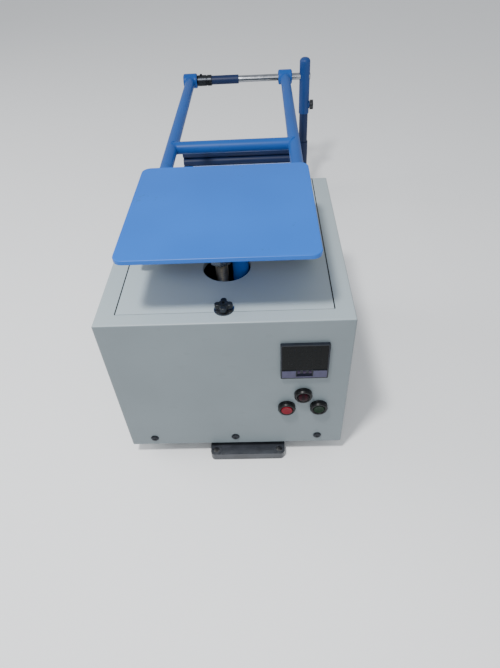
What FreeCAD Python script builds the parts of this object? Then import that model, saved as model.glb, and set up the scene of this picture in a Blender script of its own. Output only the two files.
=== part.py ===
import FreeCAD, Part
import math
import os

# Jolting table: a table on two light arms, hinged on a spindle behind a cabinet, lifted by a
# cam and dropped on a stop.  Millimetres, +Z up, +X to the operator's right, +Y to the back.
# Origin: on the floor, below the middle of the table.

# ---- driving dimensions ----
CABINET_WIDTH = 370.0
CABINET_DEPTH = 415.0
CABINET_HEIGHT = 288.0
TABLE_SETBACK = 131.0        # front face to the middle of the table
SHEET = 1.5                  # cabinet sheet thickness
FOLD_RADIUS = 2.5            # outside radius of the case's folded edges
RIM_WIDTH = 28.0             # rim of the cabinet top at each side of the cover
RIM_FRONT = 23.5             # rim of the cabinet top at the front
SEAM = 0.8                   # seam round the inset cover
OPENING_GAP = 3.0            # cover opening outside the follower leg
OPENING_LIP = 8.0            # depth of the opening's turned-down flange
LEDGE = 14.0                 # ledge that carries the cover
PAN_LIP = 16.0               # upstand of the floor pan
REAR_FLANGE = 16.0           # side panel's flange behind the back

TABLE_WIDTH = 266.0
TABLE_DEPTH = 257.0
TABLE_THICK = 6.0
TABLE_CORNER = 14.0
TABLE_RISE = 74.0            # table surface above the arm axis
ARM_CLEARANCE = 33.0         # arm axis above the cabinet top
ARM_INSET = 6.5              # arm axis inside the table's edge
ARM_DIA = 25.0
ARM_WALL = 2.5
ARM_LENGTH = 800.0           # middle of the table to the spindle
ARM_NOSE = 12.0              # arm ends this far in front of the middle of the table
CROSSHEAD_HEIGHT = 20.0
CROSSHEAD_WIDTH = 30.0
BOSS_WALL = 3.0
BOSS_LENGTH = 36.0
GUSSET_REACH = 46.0
CROSSBAR_BACK = 374.0        # crossbar behind the middle of the table
BEARER_INSET = 10.5          # bearer ends inside the table's back edge
BEARER_FLANGE = 26.0
PLATE_STOCK = 6.0            # flat bar used for bearers and gussets
TABLE_SCREW = 5.0
TABLE_SCREW_GRIP = 4.0       # thread of a table screw in the table

SPINDLE_DIA = 17.0
BEARING_OD = 30.0
BEARING_WIDTH = 10.0
COLLAR_LENGTH = 38.0
SPACER_LENGTH = 72.0
RUNNING_GAP = 0.05           # radial gap of a running fit
CONTACT_GAP = 0.3            # gap kept between parts that touch in use
MOVE_GAP = 1.0               # gap beside a part that moves

POST_DIA = 24.0
POST_GAP = 20.5              # sleeve beside the right arm's boss
POST_RISE = 45.0             # top of the sleeve above the spindle axis
SLEEVE_WALL = 2.0
SLEEVE_LENGTH = 140.0
SLEEVE_CAP = 4.0
CLAMP_DROP = 74.0            # clamp below the spindle axis
CLAMP_BOLT = 10.0
CLAMP_KNOB_DIA = 25.0
CLAMP_KNOB_LENGTH = 9.0
CLAMP_BOSS = 1.0             # clamp boss beyond the sleeve
STAND_BAR_DIA = 26.0
STAND_BAR_LEVEL = 152.0      # upper of the two cross tubes
STAND_BAR_GAP = 0.4          # between the two cross tubes
STAND_LEG_OFFSET = 36.5      # left upright outside the left arm's axis
WELD_FOOT = 5.0              # height of the collar at the foot of an upright
RAIL_SIZE = 30.0             # square tube; the cabinet stands on it
RAIL_WALL = 2.5
RAIL_FRONT = -108.0
REAR_RAIL_END = 21.0         # rear rail beyond the post's axis

STEM_X = -8.0                # lug stem left of the middle
STEM_DIA = 20.0
THREAD_PITCH = 4.0
NUT_FLATS = 30.0
NUT_HEIGHT = 12.0
LEG_GAP = 2.5                # follower leg beside the lug's nut
LEG_DIA = 25.0
LEG_WALL = 3.0
STOP_FACE = 215.0            # stop surface above the floor
ANVIL_HEAD = 18.0
ANVIL_SHANK = 18.0
LOCK_NUT = 10.0
LIFT = 15.0                  # free fall of the table
CAM_LEVEL = 120.0            # camshaft axis above the floor
CAM_BASE = 35.0              # smallest cam radius
CAM_WIDTH = 14.0
CAM_STROKE = 330.0           # degrees from rest to full lift
CAM_HUB = 6.0                # hub beyond the cam's face
FORK_CHEEK = 4.0
ROLLER_DIA = 30.0
ROLLER_PIN_DIA = 10.0
SHAFT_DIA = 20.0
CASTING_THICK = 16.0
ANCHOR_DIA = 11.0
ANCHOR_X = 56.0              # anchor holes each side of the nose's middle
ANCHOR_INSET = 9.0           # front anchor holes behind the nose's edge
ANCHOR_EDGE = 10.0           # anchor holes inside the nose's sides
ANCHOR_SPAN = 290.0          # front anchor holes to back anchor holes
ANCHOR_BOSS = 2.0            # raised seat round an anchor hole
NOSE_X = 20.0
NOSE_REACH = 16.0            # casting in front of the cabinet
NOSE_GAP = 9.0               # nose inside the rails
COLUMN_WIDTH = 56.0
COLUMN_FOOT = 14.0

BRACKET_PLATE = 8.0
BEARING_UNIT = 20.0
GEARBOX_WIDTH = 56.0
GEARBOX_SIDE = 92.0
GEARBOX_WALL = 7.0
WHEEL_DIA = 58.0
WHEEL_WIDTH = 16.0
WHEEL_TEETH = 24
WORM_DIA = 32.0
WORM_LENGTH = 44.0
WORM_PITCH = 8.0
MOTOR_DIA = 96.0
MOTOR_LENGTH = 120.0
MOTOR_SHAFT = 16.0
MOTOR_FLANGE = 10.0
FIN_COUNT = 20
FIN_HEIGHT = 7.0
FAN_BLADES = 7
COWL_LENGTH = 34.0
SENSOR_DIA = 12.0
SENSOR_GAP = 6.0             # sensor's face in front of the cam's largest radius

PANEL_INSET = 70.0           # counter and lamp inside the cabinet's right side
COUNTER_SIZE = 72.0
COUNTER_FLANGE = 2.5         # counter frame beyond its case
COUNTER_PROUD = 5.0
COUNTER_DEPTH = 80.0
COUNTER_DROP = 78.0          # counter centre below the cabinet top
FRAME_MARGIN = 2.2           # counter frame beside its window
STRIP_HEIGHT = 18.0          # counter strip below its window
KEYPAD_WIDTH = 24.0
KEYPAD_HEIGHT = 13.0
KEYPAD_DEPTH = 0.6
KEY_SIZE = 4.0
KEY_PITCH = 8.5
KEY_INSET = 2.0              # keys below the keypad's top edge
KEY_TRAVEL = 1.0
LAMP_DROP = 156.5
LENS_HEIGHT = 11.0
BUTTON_DROP = 188.0
BUTTON_SPREAD = 26.0
BUTTON_TRAVEL = 3.5
BUTTON_STEM = 8.0            # button's stem behind the panel's face
CAP_DIA = 18.0
CAP_GAP = 0.3
BEZEL_WALL = 5.25
BEZEL_HEIGHT = 9.0
BARREL_WALL = 2.0
BARREL_LENGTH = 30.0
SWITCH_BLOCK = 22.0
SCREW_DIA = 6.0
REAR_SCREW_DIA = 4.0
SCREW_HEAD = 14.0
SCREW_RISE = 18.0            # front screws above the cabinet underside
SCREW_INSET = 42.5           # outer front screws inside the cabinet's sides
REAR_SCREW_INSET = 9.0
KNOB_DIA = 26.0
KNOB_INSET = 5.5             # knob axis behind the front rim
KNOB_HEIGHT = 10.0
KNOB_SKIRT = 3.0             # height of the lobes above the washer
KNOB_STUD = 6.4
STUD_HOLE = 8.0
WASHER = 1.2
LOUVRE_COUNT = 9
LOUVRE_PITCH = 11.0
LOUVRE_LENGTH = 110.0
LOUVRE_DROP = 138.0          # lowest louvre below the cabinet top
INLET_INSET = 60.0           # inlet inside the cabinet's left side and above its underside

# ---- derived places ----
FRONT = -TABLE_SETBACK
BACK = FRONT + CABINET_DEPTH
HALF = CABINET_WIDTH / 2
FLOOR = RAIL_SIZE
TOP = FLOOR + CABINET_HEIGHT
RIM_BACK = FRONT + RIM_FRONT
KNOB_Y = RIM_BACK + KNOB_INSET
PANEL_X = HALF - PANEL_INSET
ARM_LEVEL = TOP + ARM_CLEARANCE
ARM_X = TABLE_WIDTH / 2 - ARM_INSET
ARM_R = ARM_DIA / 2
TABLE_TOP = ARM_LEVEL + TABLE_RISE
TABLE_UNDER = TABLE_TOP - TABLE_THICK
BEARER_LENGTH = TABLE_DEPTH / 2 - BEARER_INSET
BOSS_DIA = BEARING_OD + 2 * BOSS_WALL
SLEEVE_R = POST_DIA / 2 + SLEEVE_WALL
POST_X = ARM_X + BOSS_LENGTH / 2 + POST_GAP + SLEEVE_R
POST_TOP = ARM_LEVEL + POST_RISE
CLAMP_LEVEL = ARM_LEVEL - CLAMP_DROP
STAND_LEFT = -ARM_X - STAND_LEG_OFFSET
STAND_LOW = STAND_BAR_LEVEL - STAND_BAR_DIA - STAND_BAR_GAP
NOSE_WIDTH = 2 * (ANCHOR_X + ANCHOR_EDGE)
RAIL_OFFSET = NOSE_X + NOSE_WIDTH / 2 + NOSE_GAP + RAIL_SIZE / 2
LEG_X = STEM_X + NUT_FLATS / 2 + LEG_GAP + LEG_DIA / 2
OPENING_R = LEG_X + LEG_DIA / 2 + OPENING_GAP
COLUMN_TOP = STOP_FACE - ANVIL_HEAD - LOCK_NUT - 4.0
ROLLER_LEVEL = CAM_LEVEL + CAM_BASE + ROLLER_DIA / 2 + CONTACT_GAP
BRACKET_X = LEG_X + CAM_WIDTH / 2 + CAM_HUB + 4.0
GEARBOX_X = BRACKET_X + BRACKET_PLATE + BEARING_UNIT + 8.0
MOTOR_X = GEARBOX_X + GEARBOX_WIDTH / 2
MOTOR_LEVEL = CAM_LEVEL + (WHEEL_DIA + WORM_DIA) / 2 + MOVE_GAP
MOTOR_FRONT = GEARBOX_SIDE / 2
MOTOR_END = MOTOR_FRONT + MOTOR_LENGTH
BEZEL_DIA = CAP_DIA + 2 * BEZEL_WALL
BARREL_DIA = CAP_DIA + 2 * BARREL_WALL
COUNTER_CASE = COUNTER_SIZE - 2 * COUNTER_FLANGE
COUNTER_LEVEL = TOP - COUNTER_DROP
STRIP_TOP = COUNTER_LEVEL - COUNTER_SIZE / 2 + STRIP_HEIGHT
KEY_LEVEL = STRIP_TOP - KEY_SIZE / 2 - KEY_INSET

os.makedirs("parts", exist_ok=True)


def vec(x, y, z):
    return FreeCAD.Vector(x, y, z)


AXES = {"x": vec(1, 0, 0), "y": vec(0, 1, 0), "z": vec(0, 0, 1)}


def block(x0, x1, y0, y1, z0, z1):
    return Part.makeBox(x1 - x0, y1 - y0, z1 - z0, vec(x0, y0, z0))


def rod(axis, start, length, radius):
    """A cylinder that starts at a point and runs along an axis."""
    return Part.makeCylinder(radius, length, vec(*start), AXES[axis])


def pipe(axis, start, length, radius, inner):
    return rod(axis, start, length, radius).cut(rod(axis, start, length, inner))


def prism(axis, start, length, flats, sides=6):
    """A regular prism across flats, along an axis."""
    radius = flats / 2 / math.cos(math.pi / sides)
    points = []
    for k in range(sides + 1):
        turn = math.pi * (2 * k + 1) / sides
        points.append(vec(radius * math.cos(turn), radius * math.sin(turn), 0))
    solid = Part.Face(Part.makePolygon(points)).extrude(vec(0, 0, length))
    turns = {"x": (vec(0, 1, 0), 90), "y": (vec(1, 0, 0), -90), "z": (vec(0, 0, 1), 0)}
    solid.rotate(vec(0, 0, 0), turns[axis][0], turns[axis][1])
    solid.translate(vec(*start))
    return solid


def lathe(points, base):
    """A turned part: (radius, height) points about a vertical axis through base."""
    wire = Part.makePolygon([vec(r, 0, z) for r, z in points + points[:1]])
    solid = Part.Face(wire).revolve(vec(0, 0, 0), AXES["z"], 360)
    solid.translate(vec(*base))
    return solid


def lay_y(solid):
    """Turns a part made along +Z so that it faces the operator, along -Y."""
    solid.rotate(vec(0, 0, 0), AXES["x"], 90)
    return solid


def fillet_along(solid, axis, radius):
    """Rounds the straight edges that run along an axis."""
    chosen = []
    for edge in solid.Edges:
        if isinstance(edge.Curve, (Part.Line, Part.LineSegment)):
            if abs(edge.tangentAt(edge.FirstParameter).dot(AXES[axis])) > 0.999:
                chosen.append(edge)
    return solid.makeFillet(radius, chosen)


def fillet_rims(solid, radius, level):
    """Rounds the edges that lie in the plane z = level."""
    chosen = [edge for edge in solid.Edges
              if abs(edge.BoundBox.ZMin - level) < 1e-6 and abs(edge.BoundBox.ZMax - level) < 1e-6]
    return solid.makeFillet(radius, chosen)


def mirrored(solid):
    return solid.mirror(vec(0, 0, 0), AXES["x"])


def save(node, *solids):
    shape = solids[0] if len(solids) == 1 else Part.makeCompound(list(solids))
    if len(solids) == 1 and len(shape.Solids) == 1:
        shape = shape.Solids[0]
    shape.exportStep("parts/" + node + ".step")


# ---- base and stand ----
def post_collar(radius):
    """A cylinder about the post, from just below the lower cross tube to just above the upper."""
    reach = STAND_BAR_DIA / 2 + 10.0
    return rod("z", (POST_X, ARM_LENGTH, STAND_LOW - reach), STAND_BAR_LEVEL - STAND_LOW + 2 * reach, radius)


def base_casting():
    """The cast base: nose in front of the cabinet, anchor holes, pads for stop and drive."""
    inner = RAIL_OFFSET - RAIL_SIZE / 2
    nose_front = FRONT - NOSE_REACH
    body = block(-inner, inner, RAIL_FRONT, nose_front + ANCHOR_SPAN + 2 * ANCHOR_INSET, 0, CASTING_THICK)
    nose_half = NOSE_WIDTH / 2
    nose = block(NOSE_X - nose_half, NOSE_X + nose_half, nose_front, RAIL_FRONT + 20, 0, CASTING_THICK)
    body = body.fuse(fillet_along(nose, "z", 8.0)).removeSplitter()
    for side in (-1, 1):
        for row in (0, 1):
            x = NOSE_X + side * ANCHOR_X
            y = nose_front + ANCHOR_INSET + row * ANCHOR_SPAN
            body = body.fuse(rod("z", (x, y, CASTING_THICK), ANCHOR_BOSS, ANCHOR_DIA / 2 + 3.0))
            body = body.cut(rod("z", (x, y, -1), CASTING_THICK + 4, ANCHOR_DIA / 2))
    return body


def base_rails():
    """Two square tubes, from under the cabinet back to the stand."""
    tubes = []
    end = ARM_LENGTH - RAIL_SIZE / 2
    for side in (-1, 1):
        x = side * RAIL_OFFSET
        half = RAIL_SIZE / 2
        outer = block(x - half, x + half, RAIL_FRONT, end, 0, RAIL_SIZE)
        inside = half - RAIL_WALL
        bore = block(x - inside, x + inside, RAIL_FRONT + RAIL_WALL, end - RAIL_WALL,
                     RAIL_WALL, RAIL_SIZE - RAIL_WALL)
        tubes.append(fillet_along(outer, "y", 2.5).cut(bore))
    return tubes


def rear_rail():
    """The square tube across the back, on the floor."""
    half = RAIL_SIZE / 2
    long = POST_X + REAR_RAIL_END
    outer = block(-long, long, ARM_LENGTH - half, ARM_LENGTH + half, 0, RAIL_SIZE)
    bore = block(-long + RAIL_WALL, long - RAIL_WALL, ARM_LENGTH - half + RAIL_WALL,
                 ARM_LENGTH + half - RAIL_WALL, RAIL_WALL, RAIL_SIZE - RAIL_WALL)
    return fillet_along(outer, "x", 2.5).cut(bore)


def stand_post():
    """The right-hand post, cross-drilled for the spindle."""
    base = (POST_X, ARM_LENGTH, RAIL_SIZE)
    post = rod("z", base, POST_TOP - SLEEVE_CAP - RAIL_SIZE, POST_DIA / 2)
    foot = rod("z", base, WELD_FOOT, POST_DIA / 2 + 3.0)
    post = post.fuse(post_collar(SLEEVE_R)).fuse(foot)
    reach = POST_X + POST_DIA
    post = post.cut(rod("x", (0, ARM_LENGTH, ARM_LEVEL), reach, SPINDLE_DIA / 2))
    bite = rod("x", (POST_X, ARM_LENGTH, CLAMP_LEVEL), POST_DIA, CLAMP_BOLT / 2)
    return post.cut(bite).removeSplitter()


def post_sleeve():
    """The sleeve over the top of the post, with a domed cap and the clamp's boss."""
    low = POST_TOP - SLEEVE_LENGTH
    body = rod("z", (POST_X, ARM_LENGTH, low), SLEEVE_LENGTH, SLEEVE_R)
    body = fillet_rims(body, SLEEVE_R * 0.7, POST_TOP)
    clamp = (POST_X, ARM_LENGTH, CLAMP_LEVEL)
    boss = rod("x", clamp, SLEEVE_R + CLAMP_BOSS, CLAMP_BOLT / 2 + 4.0)
    body = body.fuse(boss).removeSplitter()
    body = body.cut(rod("z", (POST_X, ARM_LENGTH, low - 1), SLEEVE_LENGTH - SLEEVE_CAP + 1, POST_DIA / 2))
    body = body.cut(rod("x", (0, ARM_LENGTH, ARM_LEVEL), POST_X + 2 * SLEEVE_R, SPINDLE_DIA / 2))
    return body.cut(rod("x", clamp, 2 * SLEEVE_R, CLAMP_BOLT / 2))


def clamp_knob():
    """The clamp's stud and fluted grip, on the post's outer side."""
    tip = POST_X + 6.0
    face = POST_X + SLEEVE_R + CLAMP_BOSS + MOVE_GAP
    radius = CLAMP_KNOB_DIA / 2
    stud = rod("x", (tip, ARM_LENGTH, CLAMP_LEVEL), face - tip, CLAMP_BOLT / 2 - RUNNING_GAP)
    grip = rod("x", (face, ARM_LENGTH, CLAMP_LEVEL), CLAMP_KNOB_LENGTH, radius)
    flutes = 6
    for k in range(flutes):
        turn = 2 * math.pi * k / flutes
        y = ARM_LENGTH + (radius + 3.0) * math.cos(turn)
        z = CLAMP_LEVEL + (radius + 3.0) * math.sin(turn)
        grip = grip.cut(rod("x", (face - 1, y, z), CLAMP_KNOB_LENGTH + 2, 5.0))
    return stud.fuse(grip).removeSplitter()


def stand_leg():
    """The short left upright of the stand, ending in the lower cross tube."""
    radius = ARM_DIA / 2
    base = (STAND_LEFT, ARM_LENGTH, RAIL_SIZE)
    leg = rod("z", base, STAND_LOW - RAIL_SIZE, radius)
    foot = rod("z", base, WELD_FOOT, radius + 3.0)
    cross = rod("x", (STAND_LEFT - ARM_DIA, ARM_LENGTH, STAND_LOW), 2 * ARM_DIA, STAND_BAR_DIA / 2)
    return leg.fuse(foot).cut(cross)


def stand_bar(level):
    """A cross tube between the stand's uprights, welded to the post's collar."""
    start = STAND_LEFT - ARM_DIA / 2
    bar = rod("x", (start, ARM_LENGTH, level), POST_X - start, STAND_BAR_DIA / 2)
    return fillet_caps(bar, 2.0, start).cut(post_collar(SLEEVE_R))


def fillet_caps(solid, radius, place):
    """Rounds the round edges in the plane x = place."""
    chosen = [edge for edge in solid.Edges
              if abs(edge.BoundBox.XMin - place) < 1e-6 and abs(edge.BoundBox.XMax - place) < 1e-6]
    return solid.makeFillet(radius, chosen)


def spindle():
    """The ground bar on which both arms turn, fixed in the post."""
    start = -ARM_X - BOSS_LENGTH / 2
    end = POST_X + SLEEVE_R + 1.0
    bar = rod("x", (start, ARM_LENGTH, ARM_LEVEL), end - start, SPINDLE_DIA / 2)
    return bar.makeChamfer(1.0, [edge for edge in bar.Edges if isinstance(edge.Curve, Part.Circle)])


def spindle_collar():
    """The set collar and spacer tube that hold the left arm in place."""
    start = -ARM_X + BOSS_LENGTH / 2 + MOVE_GAP
    bore = SPINDLE_DIA / 2
    collar = pipe("x", (start, ARM_LENGTH, ARM_LEVEL), COLLAR_LENGTH, bore + 5.0, bore)
    spacer = pipe("x", (start + COLLAR_LENGTH, ARM_LENGTH, ARM_LEVEL), SPACER_LENGTH, bore + 2.5, bore)
    screw = rod("z", (start + 10.0, ARM_LENGTH, ARM_LEVEL + bore), 8.0, 3.0)
    return collar.fuse(spacer).fuse(screw).removeSplitter()


# ---- cabinet ----
def floor_pan():
    """The tray that the panels stand on, cut out over the casting's pads."""
    outer = block(-HALF + SHEET, HALF - SHEET, FRONT + SHEET, BACK - SHEET, FLOOR, FLOOR + PAN_LIP)
    inner = block(-HALF + 2 * SHEET, HALF - 2 * SHEET, FRONT + 2 * SHEET, BACK - 2 * SHEET,
                  FLOOR + SHEET, FLOOR + PAN_LIP + 1)
    pan = outer.cut(inner)
    reach = ANCHOR_SPAN + FRONT - NOSE_REACH
    hole = block(STEM_X - COLUMN_WIDTH - 4, RAIL_OFFSET - RAIL_SIZE / 2, RAIL_FRONT + 3, reach - 20,
                 FLOOR - 1, FLOOR + SHEET + 1)
    pan = pan.cut(fillet_along(hole, "z", 6.0))
    for x in front_screw_places():
        pan = pan.cut(rod("y", (x, FRONT, FLOOR + SCREW_RISE), 6.0, SCREW_DIA / 2))
    return pan


def front_screw_places():
    spread = HALF - SCREW_INSET
    return (-spread, 0.0, spread)


def on_outside(edge):
    """True for an edge of the case that is folded: two of its outer faces meet there."""
    bounds = edge.BoundBox
    front = abs(bounds.YMax - FRONT) < 1e-6
    top = abs(bounds.ZMin - TOP) < 1e-6
    side = min(abs(bounds.XMin - HALF), abs(bounds.XMax + HALF)) < 1e-6
    return front + top + side >= 2


def front_panel():
    """The front with its folded top strip, control holes and screw lugs."""
    outer = block(-HALF, HALF, FRONT, RIM_BACK, FLOOR, TOP)
    edges = [edge for edge in outer.Edges if on_outside(edge)]
    outer = outer.makeFillet(FOLD_RADIUS, edges)
    inner = block(-HALF - 1, HALF + 1, FRONT + SHEET, RIM_BACK + 1, FLOOR - 1, TOP - SHEET)
    panel = outer.cut(inner)
    ledge = block(-HALF + RIM_WIDTH, HALF - RIM_WIDTH, RIM_BACK - 8, RIM_BACK + LEDGE,
                  TOP - 2 * SHEET, TOP - SHEET)
    panel = panel.fuse(ledge).removeSplitter()
    size = COUNTER_CASE / 2 + 0.5
    panel = panel.cut(block(PANEL_X - size, PANEL_X + size, FRONT - 1, FRONT + 5,
                            COUNTER_LEVEL - size, COUNTER_LEVEL + size))
    for x, level in control_places():
        panel = panel.cut(rod("y", (x, FRONT - 1, level), 5.0, BARREL_DIA / 2 + 0.3))
    for x in front_screw_places():
        panel = panel.cut(rod("y", (x, FRONT - 1, FLOOR + SCREW_RISE), 5.0, SCREW_DIA / 2))
        lug = block(x - 9, x + 9, FRONT + SHEET, FRONT + 2 * SHEET, FLOOR + PAN_LIP, FLOOR + PAN_LIP + 14)
        lug = lug.cut(rod("y", (x, FRONT, FLOOR + SCREW_RISE), 6.0, SCREW_DIA / 2))
        panel = panel.fuse(lug)
    knob_hole = rod("z", (0, KNOB_Y, TOP - 8), 10, STUD_HOLE / 2)
    return panel.cut(knob_hole).removeSplitter()


def right_side_panel():
    """A side with its top rim, the ledge under the cover and a rear flange."""
    wall = block(HALF - SHEET, HALF, FRONT + SHEET, BACK - SHEET, FLOOR, TOP - SHEET)
    rim = block(HALF - RIM_WIDTH, HALF, RIM_BACK, BACK, TOP - SHEET, TOP)
    ledge = block(HALF - RIM_WIDTH - LEDGE, HALF - RIM_WIDTH + 6, RIM_BACK + LEDGE, BACK - SHEET,
                  TOP - 2 * SHEET, TOP - SHEET)
    flange = block(HALF - REAR_FLANGE, HALF - SHEET, BACK - 2 * SHEET, BACK - SHEET,
                   FLOOR + PAN_LIP + 1, TOP - 6)
    panel = wall.fuse(rim).removeSplitter()
    panel = panel.makeFillet(FOLD_RADIUS, [edge for edge in panel.Edges if on_outside(edge)])
    panel = panel.fuse(ledge).fuse(flange)
    for x, z in rear_screw_places():
        panel = panel.cut(rod("y", (x, BACK - 5, z), 5, REAR_SCREW_DIA / 2))
    return panel.removeSplitter()


def louvres(x_mid):
    """A column of louvre slots through the back."""
    slots = []
    half = LOUVRE_LENGTH / 2
    for k in range(LOUVRE_COUNT):
        z = TOP - LOUVRE_DROP + k * LOUVRE_PITCH
        slot = block(x_mid - half, x_mid + half, BACK - 5, BACK + 5, z, z + 4)
        slots.append(fillet_along(slot, "y", 1.9))
    return slots


def rear_panel():
    """The back, with louvres, the inlet's window and screw holes."""
    panel = block(-HALF, HALF, BACK - SHEET, BACK, FLOOR, TOP - SHEET)
    for slot in louvres(-60.0) + louvres(85.0):
        panel = panel.cut(slot)
    x, z = inlet_place()
    panel = panel.cut(block(x - 13.8, x + 13.8, BACK - 5, BACK + 1, z - 23.8, z + 23.8))
    for x, z in rear_screw_places():
        panel = panel.cut(rod("y", (x, BACK - 5, z), 10, REAR_SCREW_DIA / 2))
    return panel


def rear_screw_places():
    end = 30.0
    return [(side * (HALF - REAR_SCREW_INSET), FLOOR + end + k * (CABINET_HEIGHT / 2 - end))
            for side in (-1, 1) for k in range(3)]


def top_cover():
    """The inset cover with its round, flanged opening."""
    half = HALF - RIM_WIDTH - SEAM
    cover = block(-half, half, RIM_BACK + SEAM, BACK - SHEET - SEAM, TOP - SHEET, TOP)
    lip = pipe("z", (0, 0, TOP - OPENING_LIP), OPENING_LIP, OPENING_R + SHEET, OPENING_R)
    cover = cover.fuse(lip)
    cover = cover.cut(rod("z", (0, 0, TOP - 2 * OPENING_LIP), 4 * OPENING_LIP, OPENING_R))
    cover = cover.cut(rod("z", (0, KNOB_Y, TOP - 5), 10, STUD_HOLE / 2))
    return cover.removeSplitter()


def case_screws():
    """Cross-head screws of the front and the back."""
    screws = []
    for x in front_screw_places():
        screws.append(pan_screw((x, FRONT, FLOOR + SCREW_RISE), -1, 3 * SHEET + 1.5, SCREW_DIA))
    for x, z in rear_screw_places():
        screws.append(pan_screw((x, BACK, z), 1, 2 * SHEET, REAR_SCREW_DIA))
    return screws


def pan_screw(place, way, grip, diameter):
    """A pan-head screw whose head stands out of a wall along way * Y."""
    radius = SCREW_HEAD / 2
    head = [(0, 0), (radius, 0), (radius, 1.2), (radius * 0.75, 2.8), (0, 3.4)]
    shank = rod("z", (0, 0, -grip), grip, diameter / 2 - RUNNING_GAP)
    solid = lathe(head, (0, 0, 0)).fuse(shank)
    for turn in (0, 90):
        slot = block(-radius * 0.5, radius * 0.5, -0.6, 0.6, 1.4, 4)
        slot.rotate(vec(0, 0, 0), AXES["z"], turn)
        solid = solid.cut(slot)
    solid.rotate(vec(0, 0, 0), AXES["x"], -90 * way)
    solid.translate(vec(*place))
    return solid


def cover_knob():
    """The four-lobed star knob and its stud."""
    base = TOP + WASHER + MOVE_GAP / 2
    radius = KNOB_DIA / 2
    tall = KNOB_HEIGHT - KNOB_SKIRT
    lobe = radius * 0.34
    grip = rod("z", (0, KNOB_Y, base + KNOB_SKIRT), tall, radius * 0.62)
    for x, y in ((1, 0), (0, 1), (-1, 0), (0, -1)):
        middle = ((radius - lobe) * x, KNOB_Y + (radius - lobe) * y, base + KNOB_SKIRT)
        grip = grip.fuse(rod("z", middle, tall, lobe))
    grip = fillet_rims(grip.removeSplitter(), 1.2, base + KNOB_HEIGHT)
    crown = rod("z", (0, KNOB_Y, base + KNOB_HEIGHT - 1), 2.5, radius * 0.42)
    neck = rod("z", (0, KNOB_Y, base), KNOB_SKIRT + 1, radius * 0.5)
    stud = rod("z", (0, KNOB_Y, TOP - 22), base - TOP + 23, KNOB_STUD / 2)
    socket = rod("z", (0, KNOB_Y, base + KNOB_HEIGHT - 2.5), 5, radius * 0.2)
    return grip.fuse(crown).fuse(neck).fuse(stud).cut(socket).removeSplitter()


def knob_washer():
    return pipe("z", (0, KNOB_Y, TOP), WASHER, KNOB_DIA / 2 + 1.5, STUD_HOLE / 2)


# ---- controls ----
def control_places():
    """Lamp, stop button and start button, as (x, z)."""
    return ((PANEL_X, TOP - LAMP_DROP),
            (PANEL_X - BUTTON_SPREAD, TOP - BUTTON_DROP),
            (PANEL_X + BUTTON_SPREAD, TOP - BUTTON_DROP))


def control_bezels():
    """Three round bezels with the barrels that pass through the panel."""
    rings = []
    radius = BEZEL_DIA / 2
    bore = CAP_DIA / 2 + CAP_GAP
    for x, z in control_places():
        profile = [(bore, 0), (radius, 0), (radius, BEZEL_HEIGHT - 2.5), (radius - 1.6, BEZEL_HEIGHT),
                   (bore + 1.6, BEZEL_HEIGHT), (bore, BEZEL_HEIGHT - 1.6)]
        ring = lay_y(lathe(profile, (0, 0, 0)))
        ring.translate(vec(x, FRONT, z))
        rings.append(ring)
    return rings


def control_bodies():
    """Barrel, fixing nut and contact block behind each control."""
    bodies = []
    for x, z in control_places():
        barrel = rod("y", (x, FRONT, z), BARREL_LENGTH, BARREL_DIA / 2)
        nut = prism("y", (x, FRONT + SHEET, z), 5.0, BEZEL_DIA - 2)
        end = FRONT + BARREL_LENGTH
        box = block(x - 10, x + 10, end, end + SWITCH_BLOCK, z - 10, z + 10)
        body = barrel.fuse(nut).fuse(box)
        pocket = BUTTON_STEM + BUTTON_TRAVEL + 1.5
        body = body.cut(rod("y", (x, FRONT - 1, z), pocket, CAP_DIA / 2 - 1.0))
        bodies.append(body.removeSplitter())
    return bodies


def button_cap(place, proud):
    """A moulded cap that stands proud of the panel inside its bezel."""
    x, z = place
    radius = CAP_DIA / 2
    back = BUTTON_TRAVEL + CAP_GAP + 0.1
    profile = [(0, back), (radius, back), (radius, proud - 0.8), (radius - 0.8, proud), (0, proud)]
    cap = lay_y(lathe(profile, (0, 0, 0)))
    stem = rod("z", (0, 0, -BUTTON_STEM), BUTTON_STEM + back + 0.5, CAP_DIA / 2 - 1.5)
    cap = cap.fuse(lay_y(stem))
    cap.translate(vec(x, FRONT, z))
    return cap.removeSplitter()


def lamp_lens():
    """The lamp's domed lens."""
    x, z = control_places()[0]
    radius = CAP_DIA / 2
    profile = [(0, 0.3), (radius, 0.3), (radius, LENS_HEIGHT - 2.6), (radius * 0.8, LENS_HEIGHT - 1.0),
               (radius * 0.4, LENS_HEIGHT - 0.2), (0, LENS_HEIGHT)]
    lens = lay_y(lathe(profile, (0, 0, 0)))
    lens.translate(vec(x, FRONT, z))
    return lens


def counter_bezel():
    """The square frame of the counter, with window and key openings."""
    half = COUNTER_SIZE / 2
    z = COUNTER_LEVEL
    face = FRONT - COUNTER_PROUD
    frame = block(PANEL_X - half, PANEL_X + half, face, FRONT, z - half, z + half)
    frame = fillet_along(frame, "y", 2.0)
    inner = half - FRAME_MARGIN
    frame = frame.cut(block(PANEL_X - inner, PANEL_X + inner, face - 1, face + 2, STRIP_TOP, z + inner))
    side = KEYPAD_WIDTH / 2
    frame = frame.cut(block(PANEL_X - side, PANEL_X + side, face - 1, face + KEYPAD_DEPTH,
                            STRIP_TOP - KEYPAD_HEIGHT, STRIP_TOP))
    for x in key_places():
        size = KEY_SIZE / 2 + CAP_GAP
        frame = frame.cut(block(x - size, x + size, face - 1, FRONT + 1, KEY_LEVEL - size, KEY_LEVEL + size))
    return frame


def key_places():
    return [PANEL_X + k * KEY_PITCH for k in (-1, 0, 1)]


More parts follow.
